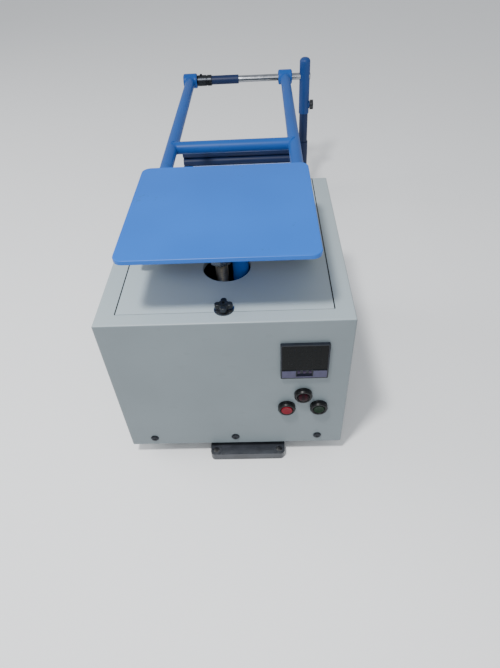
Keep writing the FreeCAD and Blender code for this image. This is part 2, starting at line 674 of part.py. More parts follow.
def counter_window():
    inner = COUNTER_SIZE / 2 - FRAME_MARGIN - 0.2
    face = FRONT - COUNTER_PROUD
    return block(PANEL_X - inner, PANEL_X + inner, face + 0.8, face + 2,
                 STRIP_TOP + 0.2, COUNTER_LEVEL + inner)


def counter_case():
    """The counter's body behind the panel, open for the keys' stems."""
    half = COUNTER_CASE / 2
    z = COUNTER_LEVEL
    body = block(PANEL_X - half, PANEL_X + half, FRONT, FRONT + COUNTER_DEPTH, z - half, z + half)
    wide = KEY_PITCH + KEY_SIZE + 3.5
    pocket = block(PANEL_X - wide, PANEL_X + wide, FRONT - 1, FRONT + 5 + KEY_TRAVEL,
                   KEY_LEVEL - KEY_SIZE - 1, KEY_LEVEL + KEY_SIZE + 1)
    return body.cut(pocket)


def counter_key(x):
    """One key of the counter."""
    size = KEY_SIZE / 2
    foot = size + 1
    key = block(x - size, x + size, FRONT - COUNTER_PROUD - 0.6, FRONT + 1,
                KEY_LEVEL - size, KEY_LEVEL + size)
    base = block(x - foot, x + foot, FRONT + 0.4, FRONT + 2, KEY_LEVEL - foot, KEY_LEVEL + foot)
    return key.fuse(base).removeSplitter()


# ---- stop, cam and drive ----
def stop_column():
    """The ribbed cast column that takes the blow."""
    half = COLUMN_WIDTH / 2
    x0 = STEM_X - COLUMN_WIDTH + NUT_FLATS / 2
    x1 = STEM_X + NUT_FLATS / 2
    column = fillet_along(block(x0, x1, -half, half, CASTING_THICK, COLUMN_TOP), "z", 5.0)
    foot = block(x0 - 10, x1, -half - COLUMN_FOOT, half + COLUMN_FOOT, CASTING_THICK,
                 CASTING_THICK + COLUMN_FOOT)
    column = column.fuse(fillet_along(foot, "z", 5.0))
    return column.cut(rod("z", (STEM_X, 0, COLUMN_TOP - 30), 31, ANVIL_SHANK / 2)).removeSplitter()


def threaded(base, length, radius, pitch):
    """A screw thread shown as evenly pitched ridges."""
    root = radius - pitch * 0.55
    points = [(0, 0), (root, 0)]
    count = int(length / pitch)
    for k in range(count):
        points.append((radius, pitch * (k + 0.5)))
        points.append((root, pitch * (k + 1)))
    points.append((0, pitch * count))
    return lathe(points, base)


def stop_anvil():
    """The hardened stop, screwed down into the column."""
    wide = NUT_FLATS / 2
    profile = [(0, 0), (wide, 0), (wide, ANVIL_HEAD - 2), (wide - 1.5, ANVIL_HEAD), (0, ANVIL_HEAD)]
    head = lathe(profile, (STEM_X, 0, STOP_FACE - ANVIL_HEAD))
    low = COLUMN_TOP - 26
    shank = rod("z", (STEM_X, 0, low), STOP_FACE - ANVIL_HEAD + 1 - low, ANVIL_SHANK / 2)
    return head.fuse(shank).removeSplitter()


def anvil_nut():
    nut = prism("z", (STEM_X, 0, COLUMN_TOP), LOCK_NUT, NUT_FLATS)
    return nut.cut(rod("z", (STEM_X, 0, COLUMN_TOP - 1), LOCK_NUT + 2, ANVIL_SHANK / 2))


def lug_stem():
    """The threaded lug of the table, with the rounded face that meets the stop."""
    low = STOP_FACE + CONTACT_GAP
    radius = STEM_DIA / 2
    crown = 30.0
    tip = Part.makeSphere(crown, vec(STEM_X, 0, low + crown))
    foot = rod("z", (STEM_X, 0, low), 14, radius + 2).common(tip)
    start = low + 12
    thread = threaded((STEM_X, 0, start), ARM_LEVEL + CROSSHEAD_HEIGHT - start, radius, THREAD_PITCH)
    return foot.fuse(thread).removeSplitter()


def lug_nut():
    z = ARM_LEVEL - CROSSHEAD_HEIGHT / 2 - NUT_HEIGHT
    nut = prism("z", (STEM_X, 0, z), NUT_HEIGHT, NUT_FLATS)
    return nut.cut(rod("z", (STEM_X, 0, z - 1), NUT_HEIGHT + 2, STEM_DIA / 2))


def roller_centre(lift):
    """The roller's centre (y, z) when the table has risen by lift at its middle."""
    turn = lift / ARM_LENGTH
    y = -ARM_LENGTH
    z = ROLLER_LEVEL - ARM_LEVEL
    return (ARM_LENGTH + y * math.cos(turn) + z * math.sin(turn),
            ARM_LEVEL - y * math.sin(turn) + z * math.cos(turn))


def cam():
    """The lifting cam: the roller's path, set in by the roller's radius, then a drop face."""
    inset = ROLLER_DIA / 2 + CONTACT_GAP
    path = []
    step = 5
    for degrees in range(0, int(CAM_STROKE) + step + 1, step):
        y, z = roller_centre(LIFT * min(degrees, CAM_STROKE) / CAM_STROKE)
        z -= CAM_LEVEL
        path.append(FreeCAD.Rotation(AXES["x"], -degrees).multVec(vec(0, y, z)))
    rim = []
    for k, point in enumerate(path):
        before = path[max(k - 1, 0)]
        after = path[min(k + 1, len(path) - 1)]
        along = (after - before).normalize()
        rim.append(point + vec(0, along.z, -along.y) * inset)
    flank = Part.BSplineCurve()
    flank.interpolate(rim)
    start = rim[0]
    end = rim[-1]
    low = end * (CAM_BASE / end.Length)
    middle = (start + low).normalize() * CAM_BASE
    edges = [flank.toShape(), Part.LineSegment(end, low).toShape(), Part.Arc(low, middle, start).toShape()]
    face = Part.Face(Part.Wire(Part.__sortEdges__(edges)))
    disc = face.extrude(vec(CAM_WIDTH, 0, 0))
    disc.translate(vec(LEG_X - CAM_WIDTH / 2, 0, CAM_LEVEL))
    hub = rod("x", (LEG_X - CAM_WIDTH / 2, 0, CAM_LEVEL), CAM_WIDTH + CAM_HUB, SHAFT_DIA / 2 + 7)
    disc = disc.fuse(hub)
    return disc.cut(rod("x", (0, 0, CAM_LEVEL), 100, SHAFT_DIA / 2)).removeSplitter()


def camshaft():
    start = LEG_X - CAM_WIDTH / 2 - 1.0
    shaft = rod("x", (start, 0, CAM_LEVEL), GEARBOX_X + GEARBOX_WIDTH + 4 - start, SHAFT_DIA / 2)
    return shaft.makeChamfer(1.0, [edge for edge in shaft.Edges if isinstance(edge.Curve, Part.Circle)])


def worm_wheel():
    """The wheel on the camshaft."""
    x = MOTOR_X - WHEEL_WIDTH / 2
    wheel = rod("x", (x, 0, CAM_LEVEL), WHEEL_WIDTH, WHEEL_DIA / 2)
    reach = WHEEL_DIA / 2 + 0.5
    for k in range(WHEEL_TEETH):
        turn = 2 * math.pi * k / WHEEL_TEETH
        gap = (x - 1, reach * math.cos(turn), CAM_LEVEL + reach * math.sin(turn))
        wheel = wheel.cut(rod("x", gap, WHEEL_WIDTH + 2, 2.0))
    return wheel.cut(rod("x", (x - 1, 0, CAM_LEVEL), WHEEL_WIDTH + 2, SHAFT_DIA / 2))


def drive_bracket():
    """A foot with two upright plates: one for the bearing, one with the gearbox's shelf."""
    half = MOTOR_FRONT - 2.0
    plate = BRACKET_PLATE
    edge = RAIL_OFFSET - RAIL_SIZE / 2 - MOVE_GAP
    shelf_top = CAM_LEVEL - GEARBOX_SIDE / 2
    end = GEARBOX_X + GEARBOX_WIDTH
    foot = block(BRACKET_X, edge, -half, half, CASTING_THICK, CASTING_THICK + plate)
    wall = block(BRACKET_X, BRACKET_X + plate, -half, half, CASTING_THICK, CAM_LEVEL + 38)
    prop = block(GEARBOX_X - plate, GEARBOX_X, -half, half, CASTING_THICK, shelf_top)
    shelf = block(GEARBOX_X - plate, end, -half, half, shelf_top - plate, shelf_top)
    bracket = foot.fuse(wall).fuse(prop).fuse(shelf)
    low = FLOOR + 6.0
    high = shelf_top - plate
    for y in (-half, half - plate):
        points = [vec(GEARBOX_X, y, low), vec(GEARBOX_X, y, high), vec(end, y, high)]
        bracket = bracket.fuse(Part.Face(Part.makePolygon(points + points[:1])).extrude(vec(0, plate, 0)))
    bore = rod("x", (BRACKET_X - 1, 0, CAM_LEVEL), plate + 2, SHAFT_DIA / 2 + 4)
    return bracket.cut(bore).removeSplitter()


def shaft_bearing():
    """The flanged bearing unit of the camshaft."""
    x = BRACKET_X + BRACKET_PLATE
    half = SHAFT_DIA * 1.7
    flange = fillet_along(block(x, x + 8, -half, half, CAM_LEVEL - half, CAM_LEVEL + half), "x", 8.0)
    barrel = rod("x", (x, 0, CAM_LEVEL), BEARING_UNIT, SHAFT_DIA * 1.2)
    unit = flange.fuse(barrel).removeSplitter()
    return unit.cut(rod("x", (x - 1, 0, CAM_LEVEL), BEARING_UNIT + 2, SHAFT_DIA / 2 + RUNNING_GAP))


def gearbox_housing():
    """The cast housing round wheel and worm."""
    half = GEARBOX_SIDE / 2
    x0 = GEARBOX_X
    x1 = GEARBOX_X + GEARBOX_WIDTH
    low = CAM_LEVEL - half
    top = MOTOR_LEVEL + WORM_DIA / 2 + 2 * GEARBOX_WALL
    wall = GEARBOX_WALL
    outer = fillet_along(block(x0, x1, -half, half, low, top), "x", 8.0)
    inner = block(x0 + wall, x1 - wall, -half + wall, half - wall, low + wall, top - wall)
    wheel_bore = rod("x", (x0 - 1, 0, CAM_LEVEL), GEARBOX_WIDTH + 2, SHAFT_DIA / 2 + RUNNING_GAP)
    worm_bore = motor_rod(-half + wall + 1, GEARBOX_SIDE, MOTOR_SHAFT / 2 + RUNNING_GAP)
    return outer.cut(inner).cut(wheel_bore).cut(worm_bore)


def motor_rod(start, length, radius):
    """A cylinder on the motor's axis."""
    return rod("y", (MOTOR_X, start, MOTOR_LEVEL), length, radius)


def about_motor(solid, count):
    """Copies of a solid, spaced evenly about the motor's axis."""
    copies = []
    for k in range(count):
        copy = solid.copy()
        copy.rotate(vec(MOTOR_X, 0, MOTOR_LEVEL), AXES["y"], 360.0 * k / count)
        copies.append(copy)
    return copies


def motor_housing():
    """The finned motor, flanged to the gearbox."""
    radius = MOTOR_DIA / 2
    core = radius - FIN_HEIGHT
    inside = MOTOR_FRONT + MOTOR_FLANGE + 2
    solid = motor_rod(MOTOR_FRONT, MOTOR_FLANGE, radius - 2)
    solid = solid.fuse(motor_rod(MOTOR_FRONT + MOTOR_FLANGE, MOTOR_LENGTH - MOTOR_FLANGE, core))
    fin = block(MOTOR_X - 1.2, MOTOR_X + 1.2, inside, MOTOR_END - 6,
                MOTOR_LEVEL + core - 2, MOTOR_LEVEL + radius)
    for copy in about_motor(fin, FIN_COUNT):
        solid = solid.fuse(copy)
    solid = solid.cut(motor_rod(inside, MOTOR_END - 12 - inside, core - 5))
    shaft_bore = motor_rod(MOTOR_FRONT - 1, MOTOR_LENGTH + 2, MOTOR_SHAFT / 2 + RUNNING_GAP)
    return solid.cut(shaft_bore).removeSplitter()


def motor_rotor():
    """Rotor core, shaft, worm and fan in one."""
    start = -GEARBOX_SIDE / 2 + GEARBOX_WALL + 2.5
    solid = motor_rod(start, MOTOR_END + 18 - start, MOTOR_SHAFT / 2)
    solid = solid.fuse(motor_rod(MOTOR_FRONT + 22, MOTOR_LENGTH - 44, MOTOR_DIA / 2 - FIN_HEIGHT - 7))
    worm = motor_rod(-WORM_LENGTH / 2, WORM_LENGTH, WORM_DIA / 2)
    for k in range(5):
        place = (MOTOR_X, WORM_PITCH * (k - 2) - 2.5, MOTOR_LEVEL)
        worm = worm.cut(pipe("y", place, WORM_PITCH / 2, WORM_DIA / 2 + 1, WORM_DIA / 2 - 3.5))
    fan_y = MOTOR_END + 6
    solid = solid.fuse(worm).fuse(motor_rod(fan_y, 3, MOTOR_DIA / 2 - 12))
    blade = block(MOTOR_X - 1, MOTOR_X + 1, fan_y, fan_y + 11,
                  MOTOR_LEVEL + MOTOR_SHAFT / 2 - 1, MOTOR_LEVEL + MOTOR_DIA / 2 - 10)
    for copy in about_motor(blade, FAN_BLADES):
        solid = solid.fuse(copy)
    return solid.removeSplitter()


def fan_cowl():
    """The pressed cowl over the fan."""
    y = MOTOR_END - 5
    radius = MOTOR_DIA / 2
    cowl = motor_rod(y, COWL_LENGTH, radius + SHEET)
    cowl = cowl.cut(motor_rod(y - 1, COWL_LENGTH - 0.5, radius))
    slot = block(MOTOR_X - 3, MOTOR_X + 3, y + COWL_LENGTH - 9, y + COWL_LENGTH + 6,
                 MOTOR_LEVEL + 12, MOTOR_LEVEL + radius - 8)
    for copy in about_motor(slot, 8):
        cowl = cowl.cut(copy)
    return cowl


def count_sensor():
    """The proximity sensor that looks at the cam's rim, on its bracket."""
    y = -CAM_BASE - LIFT - SENSOR_GAP
    sheet = 3.0
    left = LEG_X - 9
    right = LEG_X + 13
    foot = block(left, right, y - 40, y - 4, CASTING_THICK, CASTING_THICK + sheet)
    upright = block(left, right, y - 16, y - 16 + sheet, CASTING_THICK, CAM_LEVEL + 14)
    barrel = rod("y", (LEG_X, y - 44, CAM_LEVEL), 44, SENSOR_DIA / 2)
    nut_front = prism("y", (LEG_X, y - 16 + sheet, CAM_LEVEL), 4, SENSOR_DIA + 5)
    nut_back = prism("y", (LEG_X, y - 20, CAM_LEVEL), 4, SENSOR_DIA + 5)
    return foot.fuse(upright).fuse(barrel).fuse(nut_front).fuse(nut_back).removeSplitter()


def contactor():
    """The motor's contactor on its rail, on the left wall."""
    x = -HALF + SHEET
    z = FLOOR + CABINET_HEIGHT / 2
    rail = block(x, x + 7, 60, 200, z - 17.5, z + 17.5)
    body = block(x + 7, x + 82, 80, 125, z - 40, z + 38)
    relay = block(x + 7, x + 72, 132, 176, z - 27, z + 27)
    lugs = block(x + 20, x + 70, 84, 121, z + 38, z + 46)
    return rail.fuse(body).fuse(relay).fuse(lugs).removeSplitter()


def inlet_place():
    return (-HALF + INLET_INSET, FLOOR + INLET_INSET)


def power_inlet():
    """The appliance inlet, with its three pins and the switch's frame above."""
    x, z = inlet_place()
    flange = fillet_along(block(x - 16, x + 16, BACK, BACK + 3, z - 30, z + 30), "y", 3.0)
    body = block(x - 13.5, x + 13.5, BACK - 34, BACK, z - 23.5, z + 23.5)
    solid = flange.fuse(body)
    socket = fillet_along(block(x - 11.5, x + 11.5, BACK - 16, BACK + 4, z - 21.5, z - 3.5), "y", 3.0)
    solid = solid.cut(socket)
    for side in (-1, 0, 1):
        pin_x = x + 6.5 * side
        pin_z = z - 14 if side == 0 else z - 17
        pin = block(pin_x - 1.1, pin_x + 1.1, BACK - 17, BACK - 2, pin_z, pin_z + 5)
        solid = solid.fuse(pin)
    return solid.cut(block(x - 10.5, x + 10.5, BACK - 16, BACK + 4, z + 2.0, z + 21.5)).removeSplitter()


def power_rocker():
    """The rocker of the power switch."""
    x, z = inlet_place()
    middle = z + 11.75
    half = 9.8
    outline = ((-4.0, -8.3), (2.2, -8.3), (0.8, 0.0), (5.2, 7.6), (-4.0, 8.3))
    profile = [vec(x - half, BACK + y, middle + rise) for y, rise in outline]
    return Part.Face(Part.makePolygon(profile + profile[:1])).extrude(vec(2 * half, 0, 0))


# ---- table and arms ----
def table_plate():
    """The rectangular table with rounded corners."""
    wide = TABLE_WIDTH / 2
    deep = TABLE_DEPTH / 2
    plate = block(-wide, wide, -deep, deep, TABLE_UNDER, TABLE_TOP)
    plate = fillet_along(plate, "z", TABLE_CORNER)
    plate = fillet_rims(plate, 1.5, TABLE_TOP)
    for x, y in table_screw_places():
        plate = plate.cut(rod("z", (x, y, TABLE_UNDER - 1), TABLE_SCREW_GRIP + 1, TABLE_SCREW / 2))
    return plate


def table_screw_places():
    inset = BEARER_FLANGE / 2 - 4
    rows = (8.0, BEARER_LENGTH / 2, BEARER_LENGTH - 8.0)
    return [(side * (ARM_X - inset), y) for side in (-1, 1) for y in rows]


def table_bearers():
    """The T-section bearers that stand on the arms and carry the table."""
    bearers = []
    for side in (-1, 1):
        x = side * ARM_X
        web = block(x - PLATE_STOCK / 2, x + PLATE_STOCK / 2, 0, BEARER_LENGTH, ARM_LEVEL, TABLE_UNDER)
        low = x - BEARER_FLANGE + PLATE_STOCK if side > 0 else x - PLATE_STOCK
        flange = block(low, low + BEARER_FLANGE, 0, BEARER_LENGTH, TABLE_UNDER - PLATE_STOCK, TABLE_UNDER)
        bearer = web.fuse(flange).cut(rod("y", (x, -50, ARM_LEVEL), 500, ARM_R))
        for hole_x, y in table_screw_places():
            bearer = bearer.cut(rod("z", (hole_x, y, TABLE_UNDER - 20), 21, TABLE_SCREW / 2))
        bearers.append(bearer.removeSplitter())
    return bearers


def table_screws():
    """Socket-head screws, up through the bearers into the table."""
    screws = []
    for x, y in table_screw_places():
        low = TABLE_UNDER - PLATE_STOCK
        head = rod("z", (x, y, low - TABLE_SCREW), TABLE_SCREW, TABLE_SCREW * 0.84)
        shank = rod("z", (x, y, low), PLATE_STOCK + TABLE_SCREW_GRIP, TABLE_SCREW / 2)
        screws.append(head.fuse(shank).removeSplitter())
    return screws


def arm(side):
    """One tube arm with its closed nose, spindle boss and inner gusset."""
    x = side * ARM_X
    bar = rod("y", (x, -ARM_NOSE, ARM_LEVEL), ARM_LENGTH + ARM_NOSE, ARM_R)
    bar = bar.cut(rod("y", (x, -ARM_NOSE + 3, ARM_LEVEL), ARM_LENGTH, ARM_R - ARM_WALL))
    boss = rod("x", (x - BOSS_LENGTH / 2, ARM_LENGTH, ARM_LEVEL), BOSS_LENGTH, BOSS_DIA / 2)
    rims = [edge for edge in boss.Edges if isinstance(edge.Curve, Part.Circle)]
    boss = boss.makeFillet(3.5, rims)
    solid = bar.fuse(boss).fuse(gusset_plate(x))
    bore = rod("x", (x - BOSS_LENGTH, ARM_LENGTH, ARM_LEVEL), 2 * BOSS_LENGTH, BEARING_OD / 2)
    return solid.cut(bore).removeSplitter()


def gusset_plate(x):
    """A web below the tube that stiffens the boss."""
    low = ARM_LEVEL - ARM_R - 9.0
    high = ARM_LEVEL - ARM_R + 2
    left = x - PLATE_STOCK / 2
    start = ARM_LENGTH - GUSSET_REACH
    points = [vec(left, ARM_LENGTH, low), vec(left, start, high), vec(left, ARM_LENGTH, high)]
    return Part.Face(Part.makePolygon(points + points[:1])).extrude(vec(PLATE_STOCK, 0, 0))


def arm_bearings():
    """Shielded ball bearings, two in each boss, shown as sealed rings."""
    rings = []
    bore = SPINDLE_DIA / 2 + RUNNING_GAP
    for side in (-1, 1):
        for end in (-1, 1):
            x = side * ARM_X + end * (BOSS_LENGTH / 2 - 6) - BEARING_WIDTH / 2
            rings.append(pipe("x", (x, ARM_LENGTH, ARM_LEVEL), BEARING_WIDTH, BEARING_OD / 2, bore))
    return rings


def crosshead():
    """The solid bar between the arms that holds the lug and the follower leg."""
    half = CROSSHEAD_WIDTH / 2
    low = ARM_LEVEL - CROSSHEAD_HEIGHT / 2
    bar = block(-ARM_X, ARM_X, -half, half, low, low + CROSSHEAD_HEIGHT)
    bar = bar.fuse(rod("z", (LEG_X, 0, low), CROSSHEAD_HEIGHT, LEG_DIA / 2 + 5))
    for side in (-1, 1):
        bar = bar.cut(rod("y", (side * ARM_X, -half - 1, ARM_LEVEL), CROSSHEAD_WIDTH + 2, ARM_R))
    bar = bar.cut(rod("z", (STEM_X, 0, low - 1), CROSSHEAD_HEIGHT + 2, STEM_DIA / 2))
    return bar.cut(rod("z", (LEG_X, 0, low - 1), CROSSHEAD_HEIGHT + 2, LEG_DIA / 2)).removeSplitter()


def crossbar():
    """A tube across the arms, mitred to them."""
    bar = pipe("x", (-ARM_X, CROSSBAR_BACK, ARM_LEVEL), 2 * ARM_X, ARM_R, ARM_R - ARM_WALL)
    for side in (-1, 1):
        bar = bar.cut(rod("y", (side * ARM_X, CROSSBAR_BACK - ARM_DIA, ARM_LEVEL), 2 * ARM_DIA, ARM_R))
    return max(bar.Solids, key=lambda solid: solid.Volume)


def follower_fork():
    """The leg that passes through the cover, forked at its foot round the roller."""
    crown = ROLLER_LEVEL + ROLLER_DIA / 2 + 4
    radius = LEG_DIA / 2
    top = ARM_LEVEL + CROSSHEAD_HEIGHT / 2
    leg = rod("z", (LEG_X, 0, crown), top - crown, radius)
    leg = leg.cut(rod("z", (LEG_X, 0, crown + 12), top - crown - 16, radius - LEG_WALL))
    gap = CAM_WIDTH / 2 + MOVE_GAP
    for left in (LEG_X - gap - FORK_CHEEK, LEG_X + gap):
        ear = block(left, left + FORK_CHEEK, -radius, radius, ROLLER_LEVEL, crown + 10)
        leg = leg.fuse(ear).fuse(rod("x", (left, 0, ROLLER_LEVEL), FORK_CHEEK, ROLLER_PIN_DIA / 2 + 6))
    return leg.cut(rod("x", (0, 0, ROLLER_LEVEL), 60, ROLLER_PIN_DIA / 2)).removeSplitter()


def follower_roller():
    start = LEG_X - CAM_WIDTH / 2
    bore = ROLLER_PIN_DIA / 2 + RUNNING_GAP
    return pipe("x", (start, 0, ROLLER_LEVEL), CAM_WIDTH, ROLLER_DIA / 2, bore)


def roller_pin():
    reach = CAM_WIDTH / 2 + MOVE_GAP + FORK_CHEEK
    return rod("x", (LEG_X - reach, 0, ROLLER_LEVEL), 2 * reach, ROLLER_PIN_DIA / 2)


# ---- nodes ----
save("base_casting", base_casting())
save("base_rails", *base_rails())
save("rear_rail", rear_rail())
save("stand_post", stand_post())
save("post_sleeve", post_sleeve())
save("clamp_knob", clamp_knob())
save("stand_leg", stand_leg())
save("stand_bar", stand_bar(STAND_BAR_LEVEL))
save("stand_lower_bar", stand_bar(STAND_LOW))
save("spindle", spindle())
save("spindle_collar", spindle_collar())
save("floor_pan", floor_pan())
save("front_panel", front_panel())
save("right_side_panel", right_side_panel())
save("left_side_panel", mirrored(right_side_panel()))
save("rear_panel", rear_panel())
save("top_cover", top_cover())
save("case_screws", *case_screws())
save("cover_knob", cover_knob())
save("knob_washer", knob_washer())
save("control_bezels", *control_bezels())
save("control_bodies", *control_bodies())
save("lamp_lens", lamp_lens())
save("stop_button", button_cap(control_places()[1], BEZEL_HEIGHT + 0.8))
save("start_button", button_cap(control_places()[2], BEZEL_HEIGHT - 0.6))
save("counter_bezel", counter_bezel())
save("counter_window", counter_window())
save("counter_case", counter_case())
for number, key_x in enumerate(key_places(), 1):
    save("counter_key_%d" % number, counter_key(key_x))
save("stop_column", stop_column())
save("stop_anvil", stop_anvil())
save("anvil_nut", anvil_nut())
save("cam", cam())
save("camshaft", camshaft())
save("worm_wheel", worm_wheel())
save("drive_bracket", drive_bracket())
save("shaft_bearing", shaft_bearing())
save("gearbox_housing", gearbox_housing())
save("motor_housing", motor_housing())
save("motor_rotor", motor_rotor())
save("fan_cowl", fan_cowl())
save("count_sensor", count_sensor())
save("contactor", contactor())
save("power_inlet", power_inlet())
save("power_rocker", power_rocker())
save("table_plate", table_plate())
save("table_bearers", *table_bearers())
save("table_screws", *table_screws())
save("left_arm", arm(-1))
save("right_arm", arm(1))
save("arm_bearings", *arm_bearings())
save("crosshead", crosshead())
save("crossbar", crossbar())
save("lug_stem", lug_stem())
save("lug_nut", lug_nut())
save("follower_fork", follower_fork())
save("follower_roller", follower_roller())
save("roller_pin", roller_pin())
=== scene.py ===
"""Finishes, studio and fine detail of a jolting table for mortar moulds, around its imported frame."""

from __future__ import annotations

import logging
import math
from dataclasses import dataclass, field
from enum import Enum

import bmesh
import bpy
from mathutils import Matrix, Vector


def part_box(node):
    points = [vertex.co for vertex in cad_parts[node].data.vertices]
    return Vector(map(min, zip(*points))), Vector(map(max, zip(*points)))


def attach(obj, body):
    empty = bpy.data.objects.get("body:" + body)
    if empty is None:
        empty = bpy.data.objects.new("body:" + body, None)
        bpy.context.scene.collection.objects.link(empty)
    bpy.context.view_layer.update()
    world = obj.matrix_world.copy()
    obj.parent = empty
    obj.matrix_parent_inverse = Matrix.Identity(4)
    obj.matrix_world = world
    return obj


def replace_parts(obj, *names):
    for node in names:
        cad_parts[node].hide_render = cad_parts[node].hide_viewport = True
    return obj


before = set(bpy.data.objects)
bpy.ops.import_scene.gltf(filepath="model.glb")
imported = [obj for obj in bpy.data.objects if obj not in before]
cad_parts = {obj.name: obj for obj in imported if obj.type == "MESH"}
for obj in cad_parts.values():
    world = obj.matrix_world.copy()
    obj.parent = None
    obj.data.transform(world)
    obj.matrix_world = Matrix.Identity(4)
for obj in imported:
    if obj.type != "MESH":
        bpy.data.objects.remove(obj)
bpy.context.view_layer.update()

log = logging.getLogger("jolting_table")
MM = 0.001
WELDED = 1e-6  # vertices closer than this are one
WAVE_RADIANS = 20.0  # a wave texture at scale 1 turns through this in a unit
SUNK = 0.4 * MM  # how deep a bead's axis lies in the tube below it
BEAD_SIDES = 8  # the facets round a bead
RING_SWELL = 0.22  # how far the scales of a round bead stand out, as a part of its size
SEAM_SWELL = 0.12  # the same for a straight bead


# ---------------------------------------------------------------- helpers
def linear(hex_code: str) -> tuple[float, float, float, float]:
    """Turns an sRGB hex colour into linear RGBA.

    Args:
        hex_code: six hex digits, with or without a leading hash.

    Returns:
        The colour as Blender's sockets take it.
    """
    digits = hex_code.lstrip("#")
    channels = []
    for start in (0, 2, 4):
        value = int(digits[start:start + 2], 16) / 255
        channels.append(value / 12.92 if value <= 0.04045 else ((value + 0.055) / 1.055) ** 2.4)
    return (*channels, 1.0)


def per_metre(size_mm: float) -> float:
    """Returns the noise scale whose grains are about this many millimetres wide."""
    return 1.0 / (size_mm * MM)


def add_node(tree: bpy.types.NodeTree, kind: str, inputs: dict | None = None, **settings) -> bpy.types.Node:
    """Adds one shader node, with its settings and its links.

    Args:
        tree: the node tree that takes it.
        kind: the node's type name.
        inputs: values or sockets, keyed by input name or number.
        settings: the node's own properties.

    Returns:
        The new node.
    """
    node = tree.nodes.new(kind)
    for name, value in settings.items():
        setattr(node, name, value)
    for key, value in (inputs or {}).items():
        if isinstance(value, bpy.types.NodeSocket):
            tree.links.new(value, node.inputs[key])
        else:
            node.inputs[key].default_value = value
    return node


def colour_ramp(tree: bpy.types.NodeTree, factor: bpy.types.NodeSocket, stops: list[tuple[float, tuple]]):
    """Adds a colour ramp.

    Args:
        tree: the node tree that takes it.
        factor: the socket that drives the ramp.
        stops: places and linear colours, in order.

    Returns:
        The ramp's colour socket.
    """
    ramp = add_node(tree, "ShaderNodeValToRGB", {"Fac": factor})
    elements = ramp.color_ramp.elements
    while len(elements) < len(stops):
        elements.new(0.5)
    for element, (place, shade) in zip(elements, stops):
        element.position = place
        element.color = shade
    return ramp.outputs["Color"]


# ---------------------------------------------------------------- finishes
@dataclass(frozen=True)
class Finish:
    """What every finish shares: a name, a colour, a sheen and how they reach the shader."""

    name: str
    hex_code: str
    roughness: float = 0.5
    metallic: float = 0.0
    coat: float = 0.0
    gloss: float = 0.5
    depth_mm: float = 0.02
    relief: float = 0.5

    def start(self) -> tuple[bpy.types.Material, bpy.types.NodeTree, bpy.types.Node, bpy.types.NodeSocket]:
        """Makes the material with its plain shader.

        Returns:
            The material, its tree, the shader node and the Object coordinates.
        """
        material = bpy.data.materials.new(self.name)
        material.use_nodes = True
        tree = material.node_tree
        shader = tree.nodes["Principled BSDF"]
        shader.inputs["Base Color"].default_value = linear(self.hex_code)
        shader.inputs["Roughness"].default_value = self.roughness
        shader.inputs["Metallic"].default_value = self.metallic
        shader.inputs["Coat Weight"].default_value = self.coat
        shader.inputs["Specular IOR Level"].default_value = self.gloss
        place = add_node(tree, "ShaderNodeTexCoord").outputs["Object"]
        return material, tree, shader, place

    def noise(self, tree: bpy.types.NodeTree, place: bpy.types.NodeSocket, size_mm: float,
              detail: float = 2.0) -> bpy.types.NodeSocket:
        """Returns the factor of a noise whose grains have a real size."""
        return add_node(tree, "ShaderNodeTexNoise",
                        {"Vector": place, "Scale": per_metre(size_mm), "Detail": detail}).outputs["Fac"]

    def bump(self, tree: bpy.types.NodeTree, shader: bpy.types.Node,
             height: bpy.types.NodeSocket) -> None:
        """Feeds a height to the shader's normal, as deep and as strong as the finish says."""
        node = add_node(tree, "ShaderNodeBump",
                        {"Height": height, "Distance": self.depth_mm * MM, "Strength": self.relief})
        tree.links.new(node.outputs["Normal"], shader.inputs["Normal"])

    def spread(self, tree: bpy.types.NodeTree, factor: bpy.types.NodeSocket, low: float,
               high: float) -> bpy.types.NodeSocket:
        """Returns a factor stretched to run from low to high."""
        return add_node(tree, "ShaderNodeMapRange",
                        {"Value": factor, "From Min": 0.3, "From Max": 0.7, "To Min": low,
                         "To Max": high}).outputs["Result"]

    def blend(self, tree: bpy.types.NodeTree, factor: bpy.types.NodeSocket, under: bpy.types.NodeSocket,
              over_hex: str) -> bpy.types.NodeSocket:
        """Returns a colour with another laid over it, as far as a factor says."""
        node = add_node(tree, "ShaderNodeMix", {"Factor": factor, "A": under, "B": linear(over_hex)},
                        data_type="RGBA")
        return node.outputs["Result"]

    def build(self) -> bpy.types.Material:
        """Makes the material."""
        return self.start()[0]


